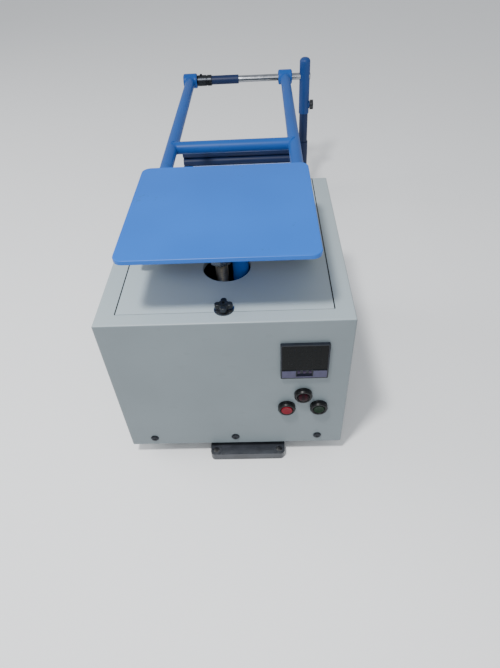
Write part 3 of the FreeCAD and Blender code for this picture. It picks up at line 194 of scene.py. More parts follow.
@dataclass(frozen=True)
class PowderCoat(Finish):
    """Powder coat on sheet steel: a fine stipple, faint clouds, handling marks and painted top light: a
    lighter colour where it faces up, standing in for the light from above.
    """

    cloud_hex: str = "#8f9b9e"
    mark_hex: str = "#7d888b"
    # Painted top light: the lighter colour laid on faces that look up, standing in for the light from above.
    dust_and_top_light_hex: str = "#a0adb1"
    depth_mm: float = 0.10
    relief: float = 0.55
    # How far the painted top light lightens a face that looks straight up.
    dust_and_top_light: float = 0.85
    stipple_mm: float = 1.6
    cloud_mm: float = 140.0
    rub_mm: float = 26.0
    rub_stretch: tuple[float, float, float] = (1.0, 0.35, 2.2)

    def build(self) -> bpy.types.Material:
        """Makes the material; the stipple is drawn at twice its real size so that it shows."""
        material, tree, shader, place = self.start()
        clouds = self.noise(tree, place, self.cloud_mm, 3.0)
        body = colour_ramp(tree, clouds, [(0.35, linear(self.cloud_hex)), (0.68, linear(self.hex_code))])
        stretched = add_node(tree, "ShaderNodeMapping", {"Vector": place, "Scale": self.rub_stretch})
        rubs = self.noise(tree, stretched.outputs["Vector"], self.rub_mm, 6.0)
        rub_mask = add_node(tree, "ShaderNodeMapRange",
                            {"Value": rubs, "From Min": 0.62, "From Max": 0.78, "To Max": 0.35})
        rubbed = self.blend(tree, rub_mask.outputs["Result"], body, self.mark_hex)
        # Painted top light: the more a face looks up, the more it takes the lighter colour, standing in for
        # the light that falls from above.
        normal = place.node.outputs["Normal"]
        facing = add_node(tree, "ShaderNodeSeparateXYZ", {"Vector": normal}).outputs["Z"]
        top_light_mask = add_node(tree, "ShaderNodeMapRange",
                           {"Value": facing, "From Min": 0.5, "From Max": 0.95, "To Max": self.dust_and_top_light})
        top_lit_colour = self.blend(tree, top_light_mask.outputs["Result"], rubbed, self.dust_and_top_light_hex)
        tree.links.new(top_lit_colour, shader.inputs["Base Color"])
        stipple = self.noise(tree, place, self.stipple_mm, 3.0)
        tree.links.new(self.spread(tree, clouds, self.roughness - 0.05, self.roughness + 0.07),
                       shader.inputs["Roughness"])
        self.bump(tree, shader, stipple)
        return material


@dataclass(frozen=True)
class Enamel(Finish):
    """Sprayed enamel on steel: orange peel, slow drift of tone and small chips to the primer."""

    drift_hex: str = "#4f86c6"
    chip_hex: str = "#34506e"
    depth_mm: float = 0.08
    peel_mm: float = 3.2
    drift_mm: float = 180.0
    chip_mm: float = 4.5
    cluster_mm: float = 47.0
    chips: float = 0.5

    def build(self) -> bpy.types.Material:
        """Makes the material."""
        material, tree, shader, place = self.start()
        drift = self.noise(tree, place, self.drift_mm, 2.0)
        body = colour_ramp(tree, drift, [(0.32, linear(self.drift_hex)), (0.66, linear(self.hex_code))])
        spots = self.noise(tree, place, self.chip_mm, 5.0)
        rare = self.noise(tree, place, self.cluster_mm, 2.0)
        both = add_node(tree, "ShaderNodeMath", {0: spots, 1: rare}, operation="MULTIPLY")
        mask = add_node(tree, "ShaderNodeMapRange",
                        {"Value": both.outputs["Value"], "From Min": 0.42, "From Max": 0.45,
                         "To Max": self.chips})
        chipped = self.blend(tree, mask.outputs["Result"], body, self.chip_hex)
        tree.links.new(chipped, shader.inputs["Base Color"])
        peel = self.noise(tree, place, self.peel_mm, 2.0)
        tree.links.new(self.spread(tree, drift, self.roughness - 0.04, self.roughness + 0.08),
                       shader.inputs["Roughness"])
        self.bump(tree, shader, peel)
        return material


class Lay(Enum):
    """The way a tool's marks run over a metal surface, as a stretch of the pattern."""

    ACROSS_X = (1.0, 0.03, 0.03)
    ROUND = (0.6, 0.6, 0.6)


@dataclass(frozen=True)
class Metal(Finish):
    """Bare machined metal: fine tool marks in one direction and faint handling stains."""

    metallic: float = 1.0
    lay: Lay = Lay.ROUND
    mark_mm: float = 0.8
    stain_mm: float = 22.0
    stain_hex: str = "#7c7d80"

    def build(self) -> bpy.types.Material:
        """Makes the material."""
        material, tree, shader, place = self.start()
        stain = self.noise(tree, place, self.stain_mm, 4.0)
        body = colour_ramp(tree, stain, [(0.30, linear(self.stain_hex)), (0.62, linear(self.hex_code))])
        tree.links.new(body, shader.inputs["Base Color"])
        turned = add_node(tree, "ShaderNodeMapping", {"Vector": place, "Scale": self.lay.value})
        marks = self.noise(tree, turned.outputs["Vector"], self.mark_mm, 4.0)
        tree.links.new(self.spread(tree, marks, self.roughness - 0.07, self.roughness + 0.1),
                       shader.inputs["Roughness"])
        self.bump(tree, shader, marks)
        return material


@dataclass(frozen=True)
class Casting(Finish):
    """Painted cast iron: the lumpy skin of the sand mould under a thick coat."""

    depth_mm: float = 0.35
    relief: float = 0.6
    sand_mm: float = 3.5
    dust_mm: float = 30.0
    dust_and_top_light_hex: str = "#3b3f45"

    def build(self) -> bpy.types.Material:
        """Makes the material."""
        material, tree, shader, place = self.start()
        sand = self.noise(tree, place, self.sand_mm, 5.0)
        # On the casting the lighter colour is only dust, laid by noise at random.
        dust_and_top_light = self.noise(tree, place, self.dust_mm, 4.0)
        tree.links.new(colour_ramp(tree, dust_and_top_light, [(0.4, linear(self.hex_code)), (0.72, linear(self.dust_and_top_light_hex))]),
                       shader.inputs["Base Color"])
        self.bump(tree, shader, sand)
        return material


@dataclass(frozen=True)
class Moulded(Finish):
    """Injection-moulded plastic: a fine spark-eroded grain and a slight drift of sheen."""

    relief: float = 0.4
    grain_mm: float = 0.5
    drift_mm: float = 9.0
    drift_hex: str = "#101215"

    def build(self) -> bpy.types.Material:
        """Makes the material."""
        material, tree, shader, place = self.start()
        drift = self.noise(tree, place, self.drift_mm, 3.0)
        body = colour_ramp(tree, drift, [(0.35, linear(self.drift_hex)), (0.65, linear(self.hex_code))])
        tree.links.new(body, shader.inputs["Base Color"])
        tree.links.new(self.spread(tree, drift, self.roughness - 0.05, self.roughness + 0.08),
                       shader.inputs["Roughness"])
        self.bump(tree, shader, self.noise(tree, place, self.grain_mm, 2.0))
        return material


@dataclass(frozen=True)
class RibbedLens(Finish):
    """A tinted lens with fine vertical ribs on its inside, dark while the lamp is off."""

    depth_mm: float = 0.08
    relief: float = 0.3
    rib_mm: float = 1.4
    deep_hex: str = "#1c0208"

    def build(self) -> bpy.types.Material:
        """Makes the material."""
        material, tree, shader, place = self.start()
        bands = per_metre(self.rib_mm) / WAVE_RADIANS
        ribs = add_node(tree, "ShaderNodeTexWave", {"Vector": place, "Scale": bands, "Distortion": 0.4},
                        bands_direction="X").outputs["Fac"]
        body = colour_ramp(tree, ribs, [(0.2, linear(self.deep_hex)), (0.85, linear(self.hex_code))])
        tree.links.new(body, shader.inputs["Base Color"])
        self.bump(tree, shader, ribs)
        return material


class Finishes:
    """The finishes of this machine, made once and handed out by name."""

    def __init__(self) -> None:
        """Makes every material."""
        kinds: list[Finish] = [
            # Painted shade: the cabinet's coat is darker than the cover's, standing in for the weaker light
            # that reaches the upright panels.
            PowderCoat("shaded_cabinet_powder_coat", "#737e83", 0.42, cloud_hex="#6c777c", mark_hex="#636d72"),
            PowderCoat("cover_powder_coat", "#98a5a9", 0.44, cloud_hex="#909da1", mark_hex="#858f93"),
            Enamel("table_enamel", "#135fba", 0.40, drift_hex="#1058ae", chip_hex="#2a5688", gloss=0.35),
            # Painted shade: a darker copy of the table's blue enamel, for the arms, the crossbar and their
            # beads.
            Enamel("shaded_arm_enamel", "#17509c", 0.42, drift_hex="#13478e", chip_hex="#1d4472", peel_mm=2.4,
                   gloss=0.2),
            # Painted shade: a near-black copy of the arms' blue, for the far stand and the spindle's spacer,
            # standing in for the shade they lie in.
            Enamel("shaded_stand_enamel", "#0e234c", 0.44, drift_hex="#0b1c3e", chip_hex="#0b1830", peel_mm=2.4,
                   gloss=0.3),
            Enamel("sleeve_enamel", "#163c78", 0.42, drift_hex="#123266", chip_hex="#0b1830", peel_mm=2.4,
                   gloss=0.3),
            Enamel("rail_enamel", "#1d2126", 0.44, drift_hex="#171a1e", chip_hex="#3a3d42", peel_mm=2.4,
                   gloss=0.3),
            Metal("ground_bar", "#a9acb2", 0.16, lay=Lay.ACROSS_X, stain_hex="#8b8f96"),
            Metal("turned_steel", "#9b9da0", 0.32, lay=Lay.ROUND, stain_hex="#747679"),
            Metal("bright_zinc", "#d8dadb", 0.22, lay=Lay.ROUND, stain_hex="#b4b7b9"),
            Metal("washer_steel", "#b4b8ba", 0.30, lay=Lay.ROUND, stain_hex="#979b9e"),
            Metal("thread_steel", "#b0a892", 0.42, lay=Lay.ROUND, stain_hex="#7a715f"),
            Metal("blackened_steel", "#3a3d42", 0.34, lay=Lay.ROUND, stain_hex="#24262a"),
            Metal("cast_bronze", "#a87838", 0.36, lay=Lay.ROUND, stain_hex="#7c5527"),
            Casting("base_casting_paint", "#2a2d33", 0.34, coat=0.2, dust_and_top_light_hex="#3d4047"),
            Casting("column_casting_paint", "#20252b", 0.45, dust_and_top_light_hex="#2c3138"),
            Casting("motor_paint", "#434d57", 0.42, dust_and_top_light_hex="#505a64", sand_mm=1.8),
            Moulded("phenolic_knob", "#1b2026", 0.34, drift_hex="#13171b", gloss=0.4),
            Moulded("bezel_abs", "#161c26", 0.46, drift_hex="#12171f", gloss=0.3),
            Moulded("black_abs", "#131518", 0.38, gloss=0.4),
            Moulded("control_bezel_gloss", "#07080a", 0.34, drift_hex="#050608", gloss=0.3),
            Moulded("smoked_window", "#060809", 0.20, drift_hex="#050607", gloss=0.12),
            Moulded("keypad_film", "#06081e", 0.46, drift_hex="#050618", gloss=0.08),
            Moulded("label_film", "#4b4a63", 0.48, drift_hex="#434259", gloss=0.2),
            Moulded("key_cap", "#352b42", 0.44, drift_hex="#2e2539", gloss=0.2),
            Moulded("segment_grey", "#0c1012", 0.24, drift_hex="#0a0d0f", gloss=0.1),
            Moulded("stop_red", "#74061c", 0.46, drift_hex="#660518", gloss=0.2),
            Moulded("start_green", "#04240f", 0.46, drift_hex="#031b0b", gloss=0.15),
            RibbedLens("lamp_lens_red", "#26030e", 0.38, deep_hex="#120208", gloss=0.1),
        ]
        self.made = {kind.name: kind.build() for kind in kinds}

    def dress(self, piece: bpy.types.Object, name: str) -> None:
        """Puts a finish on every face of a piece.

        Args:
            piece: the object to dress.
            name: the finish's name.
        """
        piece.data.materials.clear()
        piece.data.materials.append(self.made[name])


# ---------------------------------------------------------------- pieces
@dataclass
class Workshop:
    """Turns finished bmeshes into pieces that ride on the machine."""

    finishes: Finishes
    count: int = 0

    def piece(self, name: str, mesh: bmesh.types.BMesh, finish: str, body: str, slot: str,
              smooth: float = 30.0) -> bpy.types.Object:
        """Makes an object of a mesh, dresses it and puts it on a body.

        Args:
            name: the piece's name.
            mesh: the finished bmesh, which is freed.
            finish: the finish it wears.
            body: the body it moves with.
            slot: the record's material slot it belongs to; not used.
            smooth: edges flatter than this many degrees are shaded smooth.

        Returns:
            The new object.
        """
        bmesh.ops.remove_doubles(mesh, verts=mesh.verts, dist=WELDED)
        bmesh.ops.recalc_face_normals(mesh, faces=mesh.faces)
        for face in mesh.faces:
            face.smooth = True
        for edge in mesh.edges:
            if len(edge.link_faces) == 2:
                edge.smooth = edge.calc_face_angle() < math.radians(smooth)
        data = bpy.data.meshes.new(name)
        mesh.to_mesh(data)
        mesh.free()
        made = bpy.data.objects.new(name, data)
        bpy.context.scene.collection.objects.link(made)
        self.finishes.dress(made, finish)
        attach(made, body)
        self.count += 1
        log.info("%s rides on %s", name, body)
        return made

    def wear(self, finish: str, *nodes: str) -> None:
        """Dresses CAD nodes in a finish."""
        for node in nodes:
            self.finishes.dress(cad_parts[node], finish)
            log.info("%s wears %s", node, finish)


def slab(low: Vector, high: Vector, edge: float = 0.0, segments: int = 2) -> bmesh.types.BMesh:
    """Makes a box between two corners, with rounded edges.

    Args:
        low: its lowest corner.
        high: its highest corner.
        edge: the radius of its edges, none when zero.
        segments: the steps of each rounded edge.

    Returns:
        The bmesh.
    """
    mesh = bmesh.new()
    bmesh.ops.create_cube(mesh, size=1.0)
    bmesh.ops.scale(mesh, vec=high - low, verts=mesh.verts)
    bmesh.ops.translate(mesh, vec=(high + low) / 2, verts=mesh.verts)
    if edge > 0:
        bmesh.ops.bevel(mesh, geom=list(mesh.edges), offset=edge, offset_type="OFFSET", segments=segments,
                        profile=0.5, affect="EDGES", material=-1)
    return mesh


def joined(parts: list[bmesh.types.BMesh]) -> bmesh.types.BMesh:
    """Joins bmeshes into one and frees the others."""
    whole = bmesh.new()
    for part in parts:
        data = bpy.data.meshes.new("join")
        part.to_mesh(data)
        part.free()
        whole.from_mesh(data)
        bpy.data.meshes.remove(data)
    return whole


def turned(profile: list[tuple[float, float]], steps: int = 48) -> bmesh.types.BMesh:
    """Spins a profile round the Z axis.

    Args:
        profile: (radius, height) pairs in metres, from the axis out and back.
        steps: the number of segments round the axis.

    Returns:
        The closed bmesh.
    """
    mesh = bmesh.new()
    points = [mesh.verts.new((radius, 0.0, height)) for radius, height in profile]
    edges = [mesh.edges.new(pair) for pair in zip(points, points[1:])]
    bmesh.ops.spin(mesh, geom=points + edges, cent=(0, 0, 0), axis=(0, 0, 1), angle=math.tau, steps=steps,
                   use_merge=True)
    bmesh.ops.remove_doubles(mesh, verts=mesh.verts, dist=WELDED)
    return mesh


def placed(mesh: bmesh.types.BMesh, turn: Matrix, place: Vector) -> bmesh.types.BMesh:
    """Turns and then moves a bmesh into its place on the machine."""
    bmesh.ops.transform(mesh, matrix=Matrix.Translation(place) @ turn.to_4x4(), verts=mesh.verts)
    return mesh


def quarter_turn(axis: str, count: int = 1) -> Matrix:
    """Returns a turn of some right angles about an axis."""
    return Matrix.Rotation(math.radians(90 * count), 3, axis)


def weld_bead(radius: float, saddle: float, size: float = 1.7 * MM, ripples: int = 26) -> bmesh.types.BMesh:
    """Makes the bead where a round tube, along Z, meets a round tube across it.

    Args:
        radius: the ending tube's radius.
        saddle: the radius of the tube that it meets, whose axis is X; flat when zero.
        size: the bead's half width.
        ripples: the number of scales in the bead.

    Returns:
        The bead, with the joint's plane at z = 0.
    """
    mesh = bmesh.new()
    bmesh.ops.create_circle(mesh, segments=BEAD_SIDES, radius=size, cap_ends=False)
    bmesh.ops.rotate(mesh, cent=(0, 0, 0), matrix=quarter_turn("X"), verts=mesh.verts)
    bmesh.ops.translate(mesh, vec=(radius, 0, 0), verts=mesh.verts)
    steps = ripples * 4
    bmesh.ops.spin(mesh, geom=list(mesh.verts) + list(mesh.edges), cent=(0, 0, 0), axis=(0, 0, 1),
                   angle=math.tau, steps=steps, use_merge=True)
    for vert in mesh.verts:
        turn = math.atan2(vert.co.y, vert.co.x)
        swell = 1.0 + RING_SWELL * math.cos(ripples * turn)
        out = math.hypot(vert.co.x, vert.co.y) - radius
        vert.co.x = math.cos(turn) * (radius + out * swell)
        vert.co.y = math.sin(turn) * (radius + out * swell)
        vert.co.z *= swell
        if saddle > 0:
            reach = min(abs(radius * math.sin(turn)), saddle * 0.999)
            vert.co.z += math.sqrt(saddle * saddle - reach * reach) - saddle
    return mesh


def seam_bead(start: Vector, end: Vector, size: float = 1.6 * MM,
              pitch: float = 2.2 * MM) -> bmesh.types.BMesh:
    """Makes a straight rippled weld bead between two points.

    Args:
        start: one end of the bead's axis.
        end: the other end.
        size: the bead's half width.
        pitch: the length of one scale.

    Returns:
        The closed bead.
    """
    mesh = bmesh.new()
    bmesh.ops.create_circle(mesh, segments=BEAD_SIDES, radius=size, cap_ends=True)
    length = (end - start).length
    steps = max(2, round(length / pitch)) * 3
    rim = list(mesh.faces)
    for k in range(steps):
        made = bmesh.ops.extrude_face_region(mesh, geom=rim)["geom"]
        if k > 0:
            bmesh.ops.delete(mesh, geom=rim, context="FACES_ONLY")
        rim = [item for item in made if isinstance(item, bmesh.types.BMFace)]
        verts = [item for item in made if isinstance(item, bmesh.types.BMVert)]
        bmesh.ops.translate(mesh, vec=(0, 0, length / steps), verts=verts)
        swell = 1.0 + SEAM_SWELL * math.cos(math.tau * (k + 1) / 3)
        middle = Matrix.Translation((0, 0, -length * (k + 1) / steps))
        bmesh.ops.scale(mesh, vec=(swell, swell, 1.0), space=middle, verts=verts)
        if k < steps - 1:
            bmesh.ops.scale(mesh, vec=(1 / swell ** 0.5, 1 / swell ** 0.5, 1.0), space=middle, verts=verts)
    turn = (end - start).to_track_quat("Z", "Y").to_matrix()
    return placed(mesh, turn, start)


def middle_of(node: str) -> Vector:
    """Returns the middle of a node's box."""
    low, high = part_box(node)
    return (Vector(low) + Vector(high)) / 2


# ---------------------------------------------------------------- sub-assemblies
@dataclass
class Cabinet:
    """The sheet-metal case, its cover, screws and back."""

    shop: Workshop
    louvre_columns: tuple[float, ...] = (-60.0 * MM, 85.0 * MM)
    louvre_count: int = 9
    louvre_pitch: float = 11.0 * MM
    louvre_length: float = 114.0 * MM
    louvre_drop: float = 136.5 * MM
    hood_reach: float = 4.5 * MM
    hood_height: float = 7.0 * MM
    sheet: float = 0.9 * MM
    seam: float = 0.8 * MM
    strip_lap: float = 0.5 * MM
    strip_rise: float = 0.35 * MM
    strip_sunk: float = 0.02 * MM
    strip_edge: float = 0.12 * MM

    def build(self) -> None:
        """Dresses the panels and adds the louvre hoods and the dark strips of painted shade over the cover's
        seam.
        """
        # The panels and louvre hoods wear the coat darkened as painted shade; the cover wears the lighter
        # coat.
        self.shop.wear("shaded_cabinet_powder_coat", "front_panel", "left_side_panel", "right_side_panel",
                       "rear_panel", "floor_pan")
        self.shop.wear("cover_powder_coat", "top_cover")
        self.shop.wear("blackened_steel", "case_screws")
        self.shop.wear("washer_steel", "knob_washer")
        self.shop.wear("black_abs", "contactor", "power_inlet")
        self.shop.wear("phenolic_knob", "power_rocker", "cover_knob")
        self.louvre_hoods()
        self.painted_seam_shade()

    def painted_seam_shade(self) -> None:
        """Lays a thin dark strip over the seam at each side and the back of the cover: painted shade,
        darkening the seam's gap.
        """
        low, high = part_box("top_cover")
        top = high.z + self.strip_rise
        wide = self.seam + self.strip_lap
        spans = ((low.x - wide, low.y, low.x + self.strip_lap, high.y + wide),
                 (high.x - self.strip_lap, low.y, high.x + wide, high.y + wide),
                 (low.x + self.strip_lap, high.y - self.strip_lap, high.x - self.strip_lap, high.y + wide))
        foot = high.z - self.strip_sunk
        # The black strips are painted shade: they stand in for the dark gap of the seam.
        strips = [slab(Vector((left, front, foot)), Vector((right, back, top)), self.strip_edge)
                  for left, front, right, back in spans]
        self.shop.piece("cover_painted_seam_shade", joined(strips), "black_abs", "frame", "black_plastic", smooth=50)

    def louvre_hoods(self) -> None:
        """Presses a hood, open at the bottom, over each slot of the back."""
        low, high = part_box("rear_panel")
        hoods = []
        for middle in self.louvre_columns:
            for k in range(self.louvre_count):
                level = high.z - self.louvre_drop + k * self.louvre_pitch
                hoods.append(self.hood(Vector((middle, high.y, level))))
        self.shop.piece("louvre_hoods", joined(hoods), "shaded_cabinet_powder_coat", "frame", "case_paint",
                        smooth=50)

    def hood(self, place: Vector) -> bmesh.types.BMesh:
        """Makes one hood.

        Args:
            place: the middle of its lower edge, on the panel's face.

        Returns:
            The hood as a thin closed shell.
        """
        mesh = bmesh.new()
        half = self.louvre_length / 2
        steps = 6
        taper = 0.8
        rows = []
        for k in range(steps + 1):
            turn = math.pi / 2 * k / steps
            out = self.hood_reach * math.cos(turn)
            rise = self.hood_height * math.sin(turn)
            inset = self.hood_reach * (1 - math.cos(turn)) * taper
            rows.append([mesh.verts.new((side * (half - inset), out, rise)) for side in (-1, 1)])
        for before, after in zip(rows, rows[1:]):
            mesh.faces.new((before[0], before[1], after[1], after[0]))
        for side in (0, 1):
            root = mesh.verts.new(((2 * side - 1) * half, 0.0, 0.0))
            for before, after in zip(rows, rows[1:]):
                mesh.faces.new((root, before[side], after[side]))
        bmesh.ops.recalc_face_normals(mesh, faces=mesh.faces)
        bmesh.ops.solidify(mesh, geom=list(mesh.faces), thickness=self.sheet)
        return placed(mesh, Matrix.Identity(3), place)


@dataclass
class TableAndArms:
    """The blue table, its bearers, arms, crossbar and the lug below it."""

    shop: Workshop
    bearer_stock: float = 6.0 * MM
    bearer_end: float = 2.0 * MM
    boss_bead: float = 2.0 * MM
    ring_thick: float = 1.2 * MM
    ring_bore: float = 0.84
    ring_rim: float = 0.995
    ring_gap: float = 0.05 * MM

    def build(self) -> None:
        """Dresses the moving frame and lays the weld beads."""
        self.shop.wear("table_enamel", "table_plate", "follower_fork")
        # The arms and crossbar wear the darker copy of the table's blue, as painted shade.
        self.shop.wear("shaded_arm_enamel", "left_arm", "right_arm", "table_bearers", "crosshead", "crossbar")
        self.shop.wear("blackened_steel", "table_screws")
        self.shop.wear("turned_steel", "arm_bearings", "roller_pin", "follower_roller")
        self.shop.wear("bright_zinc", "lug_nut")
        self.shop.wear("thread_steel", "lug_stem")
        self.weld_crossbar()
        self.weld_bosses()
        self.weld_bearers()
        self.snap_rings()

    def tube_radius(self) -> float:
        """Returns the radius of the arms' tube."""
        low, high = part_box("crossbar")
        return (high.z - low.z) / 2

    def bead(self, name: str, mesh: bmesh.types.BMesh) -> None:
        """Puts a bead on the moving frame under the same enamel."""
        self.shop.piece(name, mesh, "shaded_arm_enamel", "table", "table_paint", smooth=60)

    def weld_crossbar(self) -> None:
        """Lays a bead at each end of the crossbar."""
        low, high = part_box("crossbar")
        radius = self.tube_radius()
        centre = middle_of("crossbar")
        for side, name in ((-1, "left"), (1, "right")):
            turn = quarter_turn("Y", -side) @ quarter_turn("Z")
            place = Vector((side * (high.x - radius), centre.y, centre.z))
            self.bead("crossbar_weld_" + name, placed(weld_bead(radius, radius), turn, place))

    def weld_bosses(self) -> None:
        """Lays a bead where each arm runs into its boss."""
        axis = middle_of("arm_bearings")
        for node in ("left_arm", "right_arm"):
            low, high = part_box(node)
            boss = high.y - axis.y
            place = Vector(((low.x + high.x) / 2, axis.y - boss, axis.z))
            bead = weld_bead(self.tube_radius(), boss, self.boss_bead)
            self.bead(node + "_boss_weld", placed(bead, quarter_turn("X"), place))

    def weld_bearers(self) -> None:
        """Lays a bead along both sides of each bearer's foot, on top of its arm."""
        low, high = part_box("table_bearers")
        level = middle_of("crossbar").z + self.tube_radius() - SUNK
        start = low.y + self.bearer_end
        end = high.y - self.bearer_end
        beads = []
        for node in ("left_arm", "right_arm"):
            x = middle_of(node).x
            for side in (-1, 1):
                edge = x + side * self.bearer_stock / 2
                beads.append(seam_bead(Vector((edge, start, level)), Vector((edge, end, level))))
        self.bead("bearer_welds", joined(beads))

    def snap_rings(self) -> None:
        """Fits a snap ring outside each bearing."""
        bearing_low, bearing_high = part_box("arm_bearings")
        axis = middle_of("arm_bearings")
        outer = (bearing_high.z - bearing_low.z) / 2
        bore = outer * self.ring_bore
        rim = outer * self.ring_rim
        rings = []
        for node in ("left_arm", "right_arm"):
            x = middle_of(node).x
            for side in (-1, 1):
                ring = turned([(bore, 0), (rim, 0), (rim, self.ring_thick), (bore, self.ring_thick),
                               (bore, 0)])
                reach = (bearing_high.x - x) if x > 0 else (x - bearing_low.x)
                place = Vector((x + side * (reach + self.ring_gap), axis.y, axis.z))
                rings.append(placed(ring, quarter_turn("Y", side), place))
        self.shop.piece("bearing_snap_rings", joined(rings), "blackened_steel", "table", "machined_steel")


@dataclass
class Stand:
    """The base, the rails, the stand behind the machine and the spindle."""

    shop: Workshop
    collar_radius: float = 14.0 * MM
    leg_step: float = 0.5 * MM
    rail_bead_drop: float = 0.3 * MM
    rail_bead_foot: float = 2.0 * MM
    set_collar_length: float = 38.0 * MM
    set_collar_edge: float = 1.2 * MM
    set_collar_groove: float = 0.62
    set_screw_place: float = 10.0 * MM
    set_screw_sunk: float = 0.3 * MM
    spacer_radius: float = 11.0 * MM
    spacer_edge: float = 0.8 * MM

    def build(self) -> None:
        """Dresses the stand, lays its weld beads and fits the set collar."""
        self.shop.wear("base_casting_paint", "base_casting")
        self.shop.wear("rail_enamel", "base_rails", "rear_rail", "drive_bracket")
        # The stand wears the blue darkened as painted shade.
        self.shop.wear("shaded_stand_enamel", "stand_post", "stand_leg", "stand_bar", "stand_lower_bar")
        self.shop.wear("sleeve_enamel", "post_sleeve")
        self.shop.wear("ground_bar", "spindle")
        self.shop.wear("phenolic_knob", "clamp_knob")
        self.weld_feet()
        self.weld_bars()
        self.weld_rails()
        self.set_collar()
        self.spacer()

    def bead(self, name: str, mesh: bmesh.types.BMesh, finish: str = "shaded_stand_enamel") -> None:
        """Puts a bead on the stand."""
        slot = "stand_paint" if finish == "shaded_stand_enamel" else "rail_paint"
        self.shop.piece(name, mesh, finish, "frame", slot, smooth=60)

    def weld_feet(self) -> None:
        """Lays a bead round the foot of each upright."""
        for node in ("stand_post", "stand_leg"):
            low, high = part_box(node)
            radius = (high.x - low.x) / 2
            place = Vector((middle_of(node).x, middle_of(node).y, low.z + SUNK))
            ring = weld_bead(radius, 0.0, ripples=30)
            self.bead(node + "_foot_weld", placed(ring, Matrix.Identity(3), place))

    def weld_bars(self) -> None:
        """Lays a bead where the cross tubes meet the post's collar, and under the lower one at the leg."""
        post_x = middle_of("stand_post").x
        for node in ("stand_bar", "stand_lower_bar"):
            low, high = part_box(node)
            radius = (high.z - low.z) / 2
            centre = middle_of(node)
            place = Vector((post_x - self.collar_radius, centre.y, centre.z))
            bead = weld_bead(radius, self.collar_radius)
            self.bead(node + "_weld", placed(bead, quarter_turn("Y", -1), place))
        leg = middle_of("stand_leg")
        low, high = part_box("stand_lower_bar")
        tube = (high.z - low.z) / 2
        leg_tube = tube - self.leg_step
        place = Vector((leg.x, leg.y, low.z))
        self.bead("stand_leg_weld", placed(weld_bead(leg_tube, tube), quarter_turn("X", 2), place))

    def weld_rails(self) -> None:
        """Lays a bead along the top of each rail's joint with the rear rail."""
        low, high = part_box("base_rails")
        tube = high.z - low.z
        level = high.z - self.rail_bead_drop
        beads = []
        for side in (-1, 1):
            outer = side * high.x
            inner = outer - side * tube
            left, right = sorted((outer, inner))
            beads.append(seam_bead(Vector((left, high.y, level)), Vector((right, high.y, level))))
            for edge in (outer, inner):
                foot = Vector((edge, high.y, self.rail_bead_foot))
                beads.append(seam_bead(foot, Vector((edge, high.y, high.z))))
        self.bead("rail_welds", joined(beads), "rail_enamel")

    def set_collar(self) -> None:
        """Replaces the collar by a turned one with chamfers, a groove and its set screw."""
        low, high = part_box("spindle_collar")
        spindle_low, spindle_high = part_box("spindle")
        bore = (spindle_high.z - spindle_low.z) / 2
        outer = (high.y - low.y) / 2
        long = self.set_collar_length
        rim = self.set_collar_edge
        waist = outer - rim
        groove = long * self.set_collar_groove
        profile = [(bore, 0), (waist, 0), (outer, rim), (outer, groove), (waist, groove + rim / 2),
                   (waist, groove + 2 * rim), (outer, groove + 2.5 * rim), (outer, long - rim),
                   (waist, long), (bore, long), (bore, 0)]
        axis = middle_of("spindle")
        start = Vector((low.x, axis.y, axis.z))
        body = placed(turned(profile), quarter_turn("Y"), start)
        top = Vector((low.x + self.set_screw_place, axis.y, axis.z + outer - self.set_screw_sunk))
        head = placed(self.set_screw(), Matrix.Identity(3), top)
        made = self.shop.piece("set_collar", joined([body, head]), "blackened_steel", "frame", "dark_steel")
        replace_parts(made, "spindle_collar")

    def set_screw(self) -> bmesh.types.BMesh:
        """Makes the head of the set screw, with its socket, standing on z = 0."""
        radius = 3.2 * MM
        edge = 0.6 * MM
        socket = 1.5 * MM
        floor = 1.2 * MM
        return turned([(0, 0), (radius, 0), (radius, radius - edge), (radius - edge, radius),
                       (socket, radius), (socket, floor), (0, floor)], 24)

    def spacer(self) -> None:
        """Slides the painted spacer tube on the spindle, beside the collar."""
        low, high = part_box("spindle_collar")
        spindle_low, spindle_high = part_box("spindle")
        bore = (spindle_high.z - spindle_low.z) / 2
        outer = self.spacer_radius
        long = high.x - low.x - self.set_collar_length
        rim = self.spacer_edge
        profile = [(bore, 0), (outer, 0), (outer, long - rim), (outer - rim, long), (bore, long), (bore, 0)]
        axis = middle_of("spindle")
        start = Vector((low.x + self.set_collar_length, axis.y, axis.z))
        self.shop.piece("spindle_spacer", placed(turned(profile), quarter_turn("Y"), start), "shaded_stand_enamel",
                        "frame", "stand_paint")


@dataclass
class Drive:
    """Motor, gearbox, cam, stop and sensor inside the case."""

    shop: Workshop

    def build(self) -> None:
        """Dresses the works."""
        self.shop.wear("column_casting_paint", "stop_column", "shaft_bearing")
        self.shop.wear("motor_paint", "gearbox_housing", "motor_housing", "fan_cowl")
        self.shop.wear("turned_steel", "stop_anvil", "anvil_nut", "cam", "motor_rotor", "count_sensor")
        self.shop.wear("ground_bar", "camshaft")
        self.shop.wear("cast_bronze", "worm_wheel")


